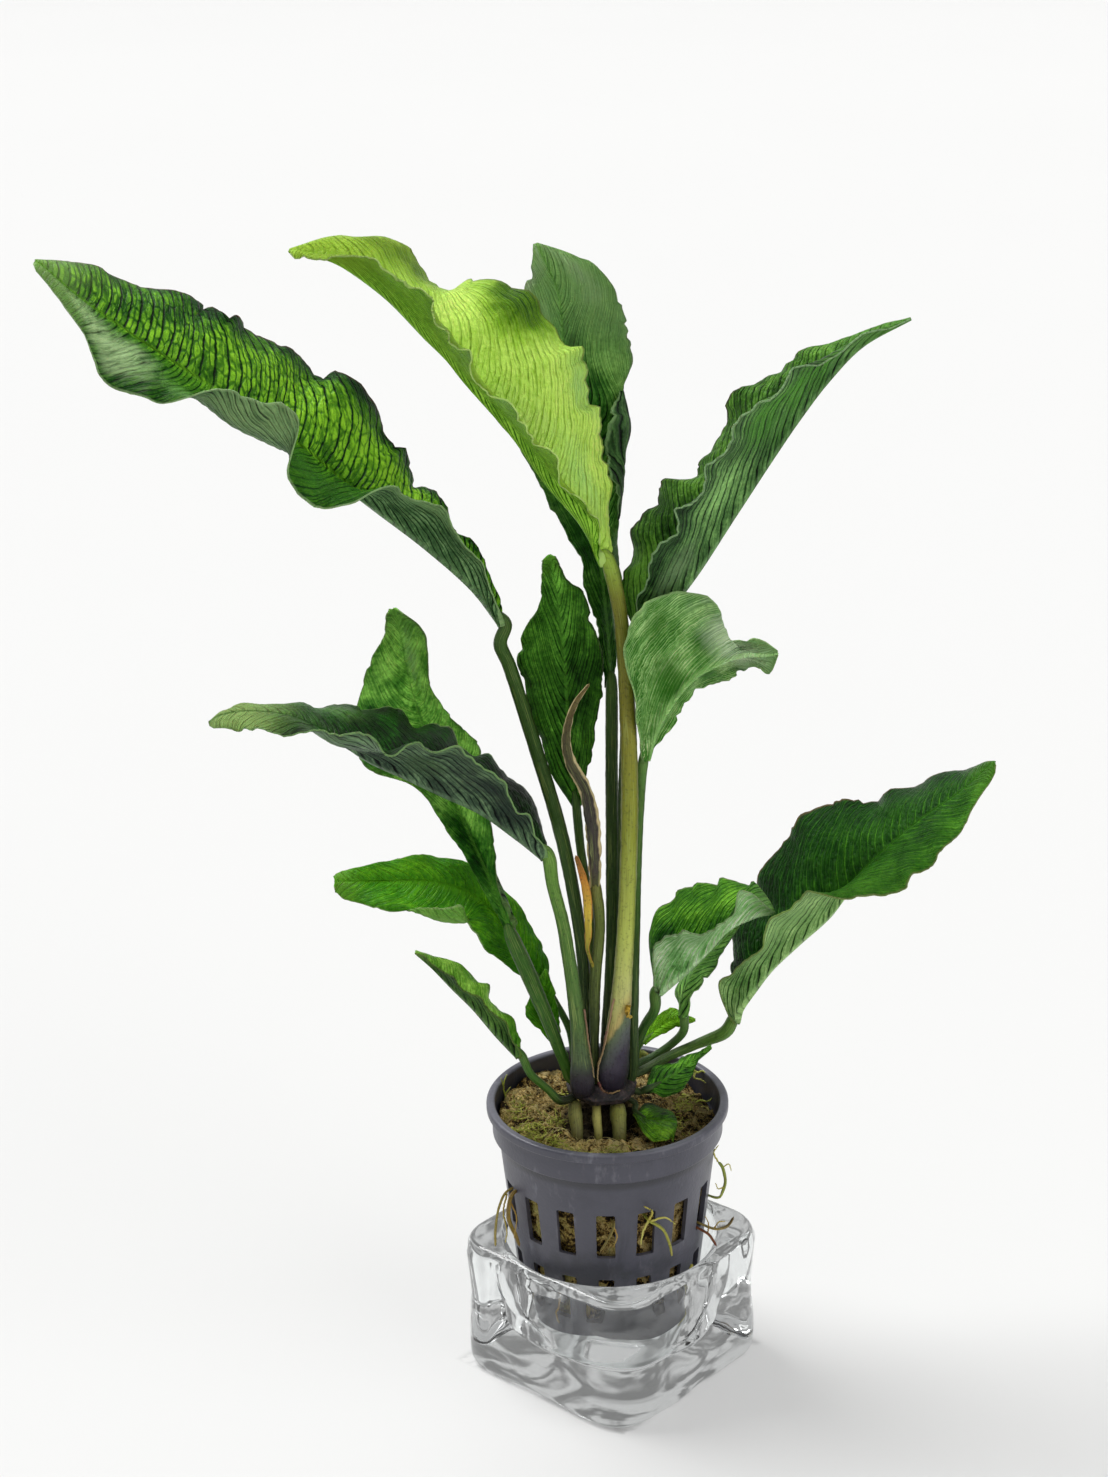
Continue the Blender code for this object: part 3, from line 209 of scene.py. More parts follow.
# Each blade and its stalk: base and tip of the blade, its ruffle (height in mm, number of waves),
# cross-sections from base to tip, the stalk's diameter at the blade, and the spots the stalk goes through
# down to the rhizome, each with the diameter there in mm. A section is far edge, midrib and near edge; where
# the near half folds up towards the viewer it is far edge, midrib, fold and near edge.
Leaf = namedtuple("Leaf", "base tip ruffle sections diameter stalk")
LEAVES = {
    "far_left": Leaf((-23, 107.5, 5), (-130, 190, -8), (1.2, 9), (
        ((-27, 119.5, 6), (-30, 116.5, 4), (-28, 119.5, 2)), ((-35, 131.5, 8), (-41, 126, 2), (-37, 132, -3)),
        ((-43, 141, 12), (-52, 134, 0), (-48, 138, -7)), ((-47, 148, 13), (-59, 139, -1), (-59, 135, -13)),
        ((-53, 158, 14), (-66, 145, -2), (-68, 134, -16)),
        ((-60, 164, 14), (-70, 148, -2), (-72, 141.5, -15)),
        ((-68, 167, 14), (-77, 152, -3), (-76, 148, -12), (-71, 154, -17)),
        ((-80, 174.5, 12), (-88, 160, -4), (-89, 155.5, -12), (-85, 160.5, -16)),
        ((-92, 181, 10), (-102, 169, -5), (-104, 158, -16)),
        ((-105, 184, 6), (-113, 176.5, -6), (-115.5, 165, -15)),
        ((-118, 188.5, 0), (-122, 183, -7), (-121, 178, -12))),
        2.6, ((-24.3, 103, 5, 3), (-21.9, 97, 5, 3), (-16.5, 80, 4, 3.1), (-10.3, 59, 3, 3.1),
        (-6.2, 37, 2, 2.8), (-4.6, 18, 2, 2.8), (-4, 4.8, 2, 3))),
    "top": Leaf((0.5, 121, -2), (-72, 192.5, -11), (1, 7), (
        ((1, 131, 2), (-5, 131, -3), (-3.5, 131.5, -6)), ((-1.5, 146, 5), (-13, 140, -4), (-10.5, 142, -11)),
        ((-4, 160, 8), (-21, 151, -5), (-19, 152.5, -16)),
        ((-7.5, 171, 10), (-31, 162, -6), (-29, 163.5, -20)),
        ((-18, 182, 12), (-36, 168, -6), (-34, 170, -21)),
        ((-31, 185.5, 13), (-41, 173, -7), (-38, 176.5, -21)),
        ((-37, 182.5, 11), (-50, 182, -8), (-47, 186.5, -19)),
        ((-46, 192.5, 6), (-60, 189, -9), (-57, 191, -14)),
        ((-60, 196, -2), (-67, 191.5, -10), (-66, 191, -12))),
        3.2, ((3.2, 108, -2, 3.1), (4.6, 88, -2, 3.5), (5.1, 66, -2, 3.8), (4.4, 42, -2, 3.8),
        (3.2, 23, -2, 4.6), (2, 11, -2, 6.2), (1.2, 6, -2, 7.2), (1, 3, -2, 6))),
    "back": Leaf((1, 93, 7), (-16.3, 194, 27), (0.9, 6), (
        ((-3, 107, 8), (0, 107, 9), (2, 107, 12)), ((-7, 123, 10), (-2, 123, 12), (3, 123, 15)),
        ((-15.5, 139, 12), (-6, 138, 16), (3, 138, 17), (1, 140, 14)),
        ((-21, 149.5, 13), (-8, 146, 17), (3.6, 146, 19), (0, 147, 16)),
        ((-27.5, 158, 15), (-9, 153, 19), (4.2, 154, 22), (1, 155, 18)),
        ((-25, 172, 18), (-10, 168, 22), (5.5, 168, 27)), ((-19, 183, 21), (-11, 181, 25), (3, 181, 28)),
        ((-17.2, 189, 24), (-13.5, 188, 26), (-4, 189.5, 28))),
        2.6, ((1, 75, 6, 2.8), (1.1, 52, 5, 2.8), (0.9, 32, 4.5, 2.6), (-0.3, 12, 4, 2.6),
        (-0.6, 5.8, 4, 2.6))),
    "upper_right": Leaf((7, 104, 5), (69, 177, 12), (1.1, 7), (
        ((3.5, 115, 12), (13, 111, 5), (7.5, 115, 0)), ((6, 126, 15), (20, 120, 5), (12, 125, -5)),
        ((12, 138, 17), (28, 132, 6), (18, 134.5, -7)), ((22, 143, 18), (36, 144, 7), (25, 145, -7)),
        ((27, 156, 19), (43, 154, 8), (32, 155, -5)), ((38, 165, 18), (50, 163, 9), (41, 163, -1)),
        ((52, 172, 16), (58, 171, 10), (53, 170, 4))),
        2.4, ((5, 94, 4.5, 2.6), (4, 75, 3.2, 2.6), (3.4, 52, 2.4, 2.4), (3.2, 30, 2.4, 2.4),
        (2.8, 14, 3, 2.4), (2.7, 6.2, 4.6, 2.2))),
    "centre": Leaf((-7, 66, 6), (-13, 123, 2), (0.9, 5), (
        ((-13, 75, 8), (-8.5, 77, 9), (-4, 77, 6)), ((-18, 89, 9.5), (-9, 90, 10), (-1.5, 90, 5)),
        ((-20, 102, 9.5), (-10, 102, 10), (-1.2, 100, 4.8)), ((-15.5, 112, 7.5), (-11, 112, 8), (-5, 113, 5)),
        ((-14.5, 119, 4.5), (-12, 118.5, 5.5), (-9, 118, 4))),
        2, ((-6, 56, 6, 2), (-4.2, 44, 7, 2), (-3.2, 25, 8, 2), (-3.2, 7.2, 7, 2))),
    "pale_right": Leaf((8.3, 77, 0.4), (38.7, 101, 16), (0.7, 4), (
        ((14, 83.5, 3), (10.7, 84, 0.4), (6.8, 88, -6.2)), ((19, 91, 7), (15, 91, 2), (4.5, 102, -7)),
        ((25, 93.5, 12), (20, 96, 5), (8, 113, -5)), ((30, 96, 15), (26, 99, 9), (20, 115, 4)),
        ((31.5, 96.8, 16), (29, 100, 11), (25.7, 110.5, 9)),
        ((33.5, 97.8, 16), (32, 100.5, 13), (27, 104, 12)),
        ((36.5, 96.5, 16), (36.5, 100.5, 15), (34, 104, 14))),
        2.2, ((7.5, 69, 1.6, 2.2), (6.8, 55, 2, 2.2), (6.3, 35, 2.5, 2.2), (6, 18, 2, 2.2),
        (5.6, 4.8, 1.7, 2.2))),
    "mid_left": Leaf((-13.5, 55, -4), (-90.5, 85, -12), (0.9, 8), (
        ((-15, 63, 3), (-20, 60, -6), (-17.5, 62, -10)), ((-22, 73, 7), (-28, 65.5, -7), (-23, 70, -14)),
        ((-31, 79, 9), (-37, 69.5, -8), (-31, 77, -19)), ((-41, 85, 10), (-46, 73.5, -9), (-41, 79.5, -22)),
        ((-51, 88, 9), (-54, 77, -10), (-50, 78, -22)),
        ((-61, 88, 6), (-62, 82, -11), (-61, 80, -17), (-60, 83.5, -21)),
        ((-70, 89, 2), (-71, 86, -12), (-71, 82.7, -20)), ((-80, 89.5, -5), (-80, 87.5, -12), (-80, 83, -18)),
        ((-87, 88, -10), (-87, 86.8, -12), (-86, 84.5, -15))),
        3, ((-12.3, 48, -5, 2.9), (-9.8, 38, -5, 2.9), (-7.2, 21, -5, 3.4), (-6.1, 11, -5, 4.2),
        (-5.6, 5, -5, 5.6), (-5.6, 1.5, -5, 5))),
    "left_back": Leaf((-21.5, 36, 2), (-48.5, 111, 18), (0.8, 6), (
        ((-24.5, 47, 4), (-26, 48, 6), (-29, 48.5, 5)), ((-25.5, 58, 6), (-31, 59, 10), (-36, 60, 8)),
        ((-27, 70, 10), (-36, 70, 14), (-44, 70.5, 11)), ((-28.5, 79, 13), (-40, 79, 17), (-55, 75, 14)),
        ((-34, 85, 15), (-43, 88, 18), (-57.5, 84, 15)), ((-40, 93, 16), (-45.5, 97, 19), (-55, 97, 16)),
        ((-41.5, 104, 17), (-47, 105, 19), (-50.5, 105, 17))),
        3.4, ((-17.5, 27, 1, 3.6), (-13.5, 17.5, 0, 3.2), (-9.8, 8, 0, 2.6), (-8.2, 4.1, 0.5, 2.4))),
    "low_left": Leaf((-14.5, 25.5, 8), (-62, 49, 3), (0.6, 6), (
        ((-13.5, 31, 11), (-17.5, 30, 9), (-21, 28.5, 6)), ((-16.5, 36.5, 13), (-22, 36, 10), (-27, 33, 5)),
        ((-20, 43, 14), (-27, 43, 11), (-31, 39, 4)),
        ((-29, 51.5, 14), (-33, 47, 10), (-34, 39.5, 3), (-34, 43.2, 0)),
        ((-39, 55, 12), (-41, 49, 8), (-43, 42.3, 2), (-42, 43.2, 1)),
        ((-49, 54, 9), (-50, 49, 6), (-50, 42, 1)), ((-57, 52, 6), (-57, 49, 4), (-58, 44.8, 2))),
        1.8, ((-11.5, 21, 7.5, 1.7), (-8.5, 15, 7, 1.7), (-6.9, 6.5, 5.8, 1.7))),
    "small_left": Leaf((-9.5, 8, 3), (-14, 29, 5), (0.4, 3), (
        ((-10.3, 13, 3), (-11.5, 13.5, 4), (-13.5, 13, 3)),
        ((-10.8, 19, 3), (-13.5, 19, 5), (-18.5, 18.5, 2)), ((-12, 24.5, 4), (-14, 24, 5), (-17.5, 23, 3))),
        1.3, ((-9.4, 6.2, 3.2, 1.3), (-9.3, 5.2, 3.2, 1.3))),
    "bottom_left": Leaf((-19.5, 9.5, -8), (-43.5, 33, -11), (0.5, 4), (
        ((-20.5, 15.5, -5), (-25, 15, -9), (-23.5, 17, -12)),
        ((-26, 22, -4), (-30, 20.5, -10), (-28.5, 22, -13)),
        ((-29, 26.5, -4), (-35, 25, -10), (-34, 26, -13)),
        ((-36, 31, -7), (-40, 29.8, -11), (-39.5, 30.3, -12))),
        2, ((-17.5, 5.4, -8, 1.8), (-13.5, 1.8, -7, 1.8), (-10.4, -0.8, -6, 2))),
    "far_right": Leaf((28.5, 17.5, 9), (88, 76, 2), (0.9, 8), (
        ((29, 27, 12), (30.5, 22, 7), (25.5, 26.5, 3)), ((28.5, 35, 15), (36, 29, 7), (31.5, 30.5, 1)),
        ((33, 46, 18), (43, 35.5, 6), (37, 39, -3)), ((40, 58.5, 19), (50, 41.5, 6), (44.5, 46, -6)),
        ((49, 66.7, 19), (56, 49, 6), (55, 45, -8)), ((59, 67.8, 18), (63, 56, 5), (67, 47.6, -9)),
        ((70, 71, 16), (72, 63.5, 4), (74.5, 54, -7)), ((79, 74, 12), (80, 69, 3), (81, 62, -4))),
        2.8, ((26.5, 14.6, 9.5, 3), (21, 12.3, 11, 2.4), (14, 9.3, 9.8, 2.2), (8.6, 6.3, 6.6, 2.2))),
    "hooded_right": Leaf((11, 24, 4), (38, 42, 1), (0.6, 4), (
        ((9.5, 35, 8), (13.5, 26, 3), (10.5, 33.5, -2)), ((12.5, 44, 11), (17.5, 29, 2), (14, 37.5, -5)),
        ((19, 48, 12), (22, 33, 1), (20, 37.5, -6)), ((27, 49.3, 10), (27, 38, 0), (26, 39.5, -5)),
        ((33.5, 48, 6), (33, 41, 0), (31, 46, -3))),
        2.6, ((10.8, 20, 4.5, 2.4), (8.4, 16, 5.6, 2.2), (6.4, 11, 6, 2.2), (5.7, 6.6, 5.8, 2.2))),
    "narrow_right": Leaf((17.5, 18.5, 10), (30, 39, 8), (0.4, 3), (
        ((15.5, 24, 12), (18, 23, 9), (19.5, 23, 7)), ((19, 29, 13), (20.5, 28.5, 9), (23, 26.5, 6)),
        ((24, 35, 12), (25, 33.5, 9), (25.5, 31.5, 7))),
        2, ((17.3, 15, 10.5, 2), (14.5, 12, 12.6, 1.9), (10, 8.9, 12.2, 1.9), (7.6, 7.9, 9.8, 1.8))),
    "tiny_right": Leaf((8, 12.5, 10.5), (20, 17.5, 14), (0.3, 2), (
        ((11, 18, 14), (11.5, 15.5, 12), (12, 14.3, 11)),
        ((14.5, 20.3, 15), (15, 17.5, 13), (15.5, 15.5, 12))),
        1.1, ((6.6, 10.4, 10.2, 1.1), (4.8, 8.4, 9.6, 1.1))),
    "over_soil": Leaf((9.5, 2, 0), (23.5, 11.5, 5), (0.4, 3), (
        ((10.5, 6.5, 6), (12.5, 3.5, 2), (12, 0, -1)), ((15.5, 8, 8), (16, 5.5, 4), (17.5, 1, 0)),
        ((19.5, 9.8, 7), (20, 8.5, 5), (20, 7, 3))),
        1.6, ((8.2, 1.5, 0.4, 1.6), (7.6, 1.2, 0.6, 1.6))),
    "round_front": Leaf((6.5, -3.5, -3.5), (15.8, -6, -8), (0.3, 2), (
        ((8.5, -2.3, 0), (9, -5, -6), (8.5, -8.5, -12.5)),
        ((12.5, -2.2, -1), (12.5, -5.5, -8), (12.5, -10.3, -15.5)),
        ((15, -3.8, -3), (15, -6, -8), (14.8, -8.8, -13))),
        1.4, ((6.2, -2.4, -1.6, 1.4), (6.2, -1.2, -0.2, 1.4))),
}

# Withered shoot with its own stalk, the dry sheath beside it and the cut stub, from top to bottom
DRY_PIECES = {
    "stem_withered": ((-2.7, 49, -1, 2), (-2.5, 46.5, -1, 2.6), (-1.7, 39, -1, 2.4), (-2.8, 26, -1, 2.6),
        (-2.9, 17, -1, 2.4), (-2.9, 12.5, -1.2, 2)),
    "withered_shoot": ((-4, 94, -3, 0.6), (-7.5, 89, -3, 1.3), (-9.3, 82, -3, 1.9), (-8.3, 76, -2, 2.4),
        (-5, 70, -2, 2.8), (-3.4, 62, -2, 3.3), (-2.9, 54, -1.5, 2.8), (-2.7, 47.2, -1, 2.4)),
    "yellow_sheath": ((-7.2, 55, -2.2, 0.8), (-5.8, 51, -2.6, 1.5), (-4.6, 45.5, -3, 1.9),
        (-4.3, 37, -3.2, 1.5), (-4.5, 33.5, -3.2, 0.8)),
    "yellow_stub": ((6.2, 10.6, 14, 1.6), (8, 9.3, 14.2, 2.4), (9.8, 8, 14.4, 2.2)),
}

# Roots: three thick ones that prop the rhizome up, then fine ones that hang from the pot's slots
PROP_ROOTS = {
    "prop_root_left": ((-7.2, -0.4, -3.4, 3), (-7.3, -2.2, -4.4, 3), (-7.3, -4.4, -6, 3.2),
        (-6.9, -6.8, -7.8, 2.8), (-6.8, -8.7, -9, 2.6)),
    "prop_root_middle": ((-2.4, -0.4, -3.6, 2), (-2.4, -2.4, -4.8, 2), (-2.4, -4.8, -6.8, 2.1),
        (-2.1, -7.4, -9, 1.9), (-2, -9.2, -9.8, 1.8)),
    "prop_root_right": ((2.3, -0.8, -3.4, 3.5), (2.4, -3, -4.5, 3.6), (2.5, -4.6, -6.2, 3.7),
        (2.7, -6.6, -8.2, 3.2), (2.8, -9.2, -9.8, 3)),
}
HANGING_ROOTS = {
    "root_left_thin": ((-22.7, -21.3, -11, 0.8), (-24.6, -25, -11, 0.8), (-25.4, -30, -11, 0.8),
        (-25.4, -34, -11, 0.7)),
    "root_left_thick": ((-21.9, -22.6, -13.6, 1.3), (-22.4, -27.6, -12.4, 1.4), (-20.8, -31.4, -13.4, 1.3),
        (-19.9, -34, -14.4, 1)),
    "root_right_loop": ((25.1, -14.6, -4, 0.9), (26.2, -16, -4, 1), (26.8, -19.2, -4, 1),
        (26.2, -21.4, -4, 1), (25, -22.9, -4.6, 0.8)),
    "root_right_outer": ((23.8, -29.8, -9, 0.8), (26, -29.8, -7, 0.9), (27.6, -29, -5, 0.9),
        (28.8, -27.1, -4, 0.7)),
    "root_right_red": ((22.6, -30.9, -11.4, 0.8), (24, -32.5, -11.4, 0.8), (24.9, -34, -11.6, 0.6)),
    "root_front": ((9.4, -28, -23.3, 0.9), (12.6, -30, -22.2, 1), (14.2, -33.5, -21, 0.9),
        (14.7, -36.2, -20, 0.7)),
    "root_front_slot": ((1.5, -29.2, -24.9, 0.8), (0.2, -32.2, -24.6, 0.8), (-1.7, -35.3, -24.2, 0.6)),
}

# Fine growth past the solids: (solid it goes with, row of colours, strands). A strand is its radius
# in mm, its place in the row of colours, and the spots it goes through.
SMALL_GROWTH = {
    "sheath_edges": ("stem_top", ((98, 50, 48), (116, 86, 70), (166, 136, 106), (206, 166, 56)), (
        (0.24, 0.6, ((1.5, 22.4, -3.6), (0.5, 17.2, -3.8), (-0.8, 11, -4.2), (-2, 7, -4.6), (-2.1, 3.6, -5.2),
            (-1, 1.6, -6.8))),
        (0.3, 0.0, ((-2, 3.4, -5.4), (-1, 1.4, -7.2), (0.8, 0.9, -8.2), (2.8, 1.5, -7.4))),
        (0.22, 0.4, ((-5.2, 20, -6), (-4.3, 12.6, -6.4), (-3.4, 7.4, -6.8), (-3, 4.4, -7.4))),
        (0.16, 0.2, ((-0.2, 15, -4.2), (-1, 10.8, -4.6), (-2.2, 7.4, -5))),
        (0.7, 1.0, ((4.9, 20.4, -4.4), (4.5, 19.2, -4.8), (5.2, 18.2, -4.4))))),
    "curly_roots": ("growing_medium", ((112, 122, 36), (164, 176, 66), (198, 190, 112), (214, 196, 148)), (
        (0.3, 0.4, ((19.2, 6.6, 12.6), (20.4, 5.6, 13), (21.8, 5.9, 12.6), (23, 4.6, 11.6))),
        (0.26, 0.5, ((20, 5.8, 13), (19.8, 4.4, 12), (21.4, 3.9, 11.6), (22.4, 3.2, 11))),
        (0.3, 0.4, ((17.2, 0.6, 11), (18.8, -0.2, 10), (19.6, -2.2, 7.6), (20, -4.6, 5))),
        (0.24, 0.3, ((19.4, -1.8, 8), (21, -0.8, 8.4), (22.8, -1, 7.6), (23.8, -0.2, 7.4))),
        (0.22, 0.6, ((18.2, -2.2, 6.4), (20.2, -2.6, 6.2), (22.2, -2.2, 6), (23.2, -3.2, 4.4))),
        (0.2, 0.2, ((15, -1, 8.6), (16.4, -2.2, 7), (17.6, -4.2, 4.4))),
        (0.2, 0.7, ((14.4, -3.6, 3), (16.4, -3.4, 3.6), (18, -5, 2.6), (19.6, -5.4, 1.4))),
        (0.22, 0.3, ((-23, -0.6, 7.2), (-23.6, 2.6, 7.4), (-22.8, 5.2, 7.6))),
        (0.18, 0.2, ((-23.5, 2.2, 7.3), (-24.2, 4.4, 7.2))),
        (0.18, 0.4, ((-23.3, 0.6, 7.2), (-21.9, 2.4, 7.2))),
        (0.2, 0.3, ((-20.6, -5, 0.6), (-20, -3.6, 1.6), (-20.8, -2.6, 2))),
        (0.8, 1.0, ((6.6, 0.6, 2.2), (7.4, 1.4, 2.6), (8.6, 2.6, 3))),
        (0.22, 0.8, ((-14, 0, 8.6), (-11, 0.8, 9.6), (-9, 2.4, 11))),
        (0.2, 0.8, ((-17, -4, 3), (-14.5, -3, 4.4), (-12.4, -3.6, 3))))),
    "rootlets": ("root_front", ((122, 84, 40), (158, 124, 56), (178, 168, 72), (196, 190, 104)), (
        (0.3, 0.9, ((9.4, -28, -23.3), (8.2, -30.4, -23.9), (7.6, -33.4, -23.6))),
        (0.28, 0.8, ((9.8, -28.2, -23.4), (13.2, -27.4, -22.6), (15.4, -28.8, -21.6))),
        (0.3, 0.6, ((9.4, -28, -23.3), (10.2, -26, -23.6), (8.4, -24.8, -24))),
        (0.22, 0.5, ((-22.8, -22, -11.2), (-23.6, -26, -11.4), (-22.8, -30.4, -12.2), (-23.2, -33, -12.2))),
        (0.2, 0.3, ((-21.9, -24, -13.2), (-20.6, -27.6, -14), (-21.2, -32, -13.6))),
        (0.22, 0.7, ((25.1, -14.6, -4), (24.2, -12.6, -4.6), (25.2, -11, -5))),
        (0.18, 0.8, ((26.2, -16, -4), (27.6, -15.2, -3.6), (28.2, -16.8, -3.6))),
        (0.18, 0.6, ((26.6, -20.4, -4), (25.2, -20.8, -4.8), (24.6, -19.6, -5.6))),
        (0.2, 0.4, ((24.2, -29.8, -8.8), (25.4, -28.4, -7.6), (26.8, -28.2, -6))),
        (0.18, 0.2, ((22.8, -31, -11.3), (23, -28.8, -11.8), (22.2, -27, -12.2))),
        (0.2, 0.3, ((1.4, -29.2, -24.8), (2.2, -31.8, -24.8), (1.4, -34, -24.6))))),
}

# Roots that have grown down between the pot and the well: (radius in mm, colour place, points). A point is
# (turn about the axis in degrees, distance from the axis and height in mm).
WELL_ROOTS = (
    (0.36, 0.7, ((-35, 23, 31), (-36, 22.2, 27), (-33, 21.6, 24), (-36, 21.1, 21), (-38, 20.3, 18),
        (-42, 17, 14))),
    (0.26, 0.8, ((-40, 22.6, 29), (-42, 21.9, 25.5), (-40, 21.2, 22))),
    (0.3, 0.2, ((-118, 22.6, 29), (-117, 21.9, 25.5), (-120, 21.4, 23), (-118, 21, 20.6))),
    (0.24, 0.4, ((-150, 22.4, 28), (-148, 21.8, 25), (-151, 21.2, 22), (-146, 19.8, 16.5))))
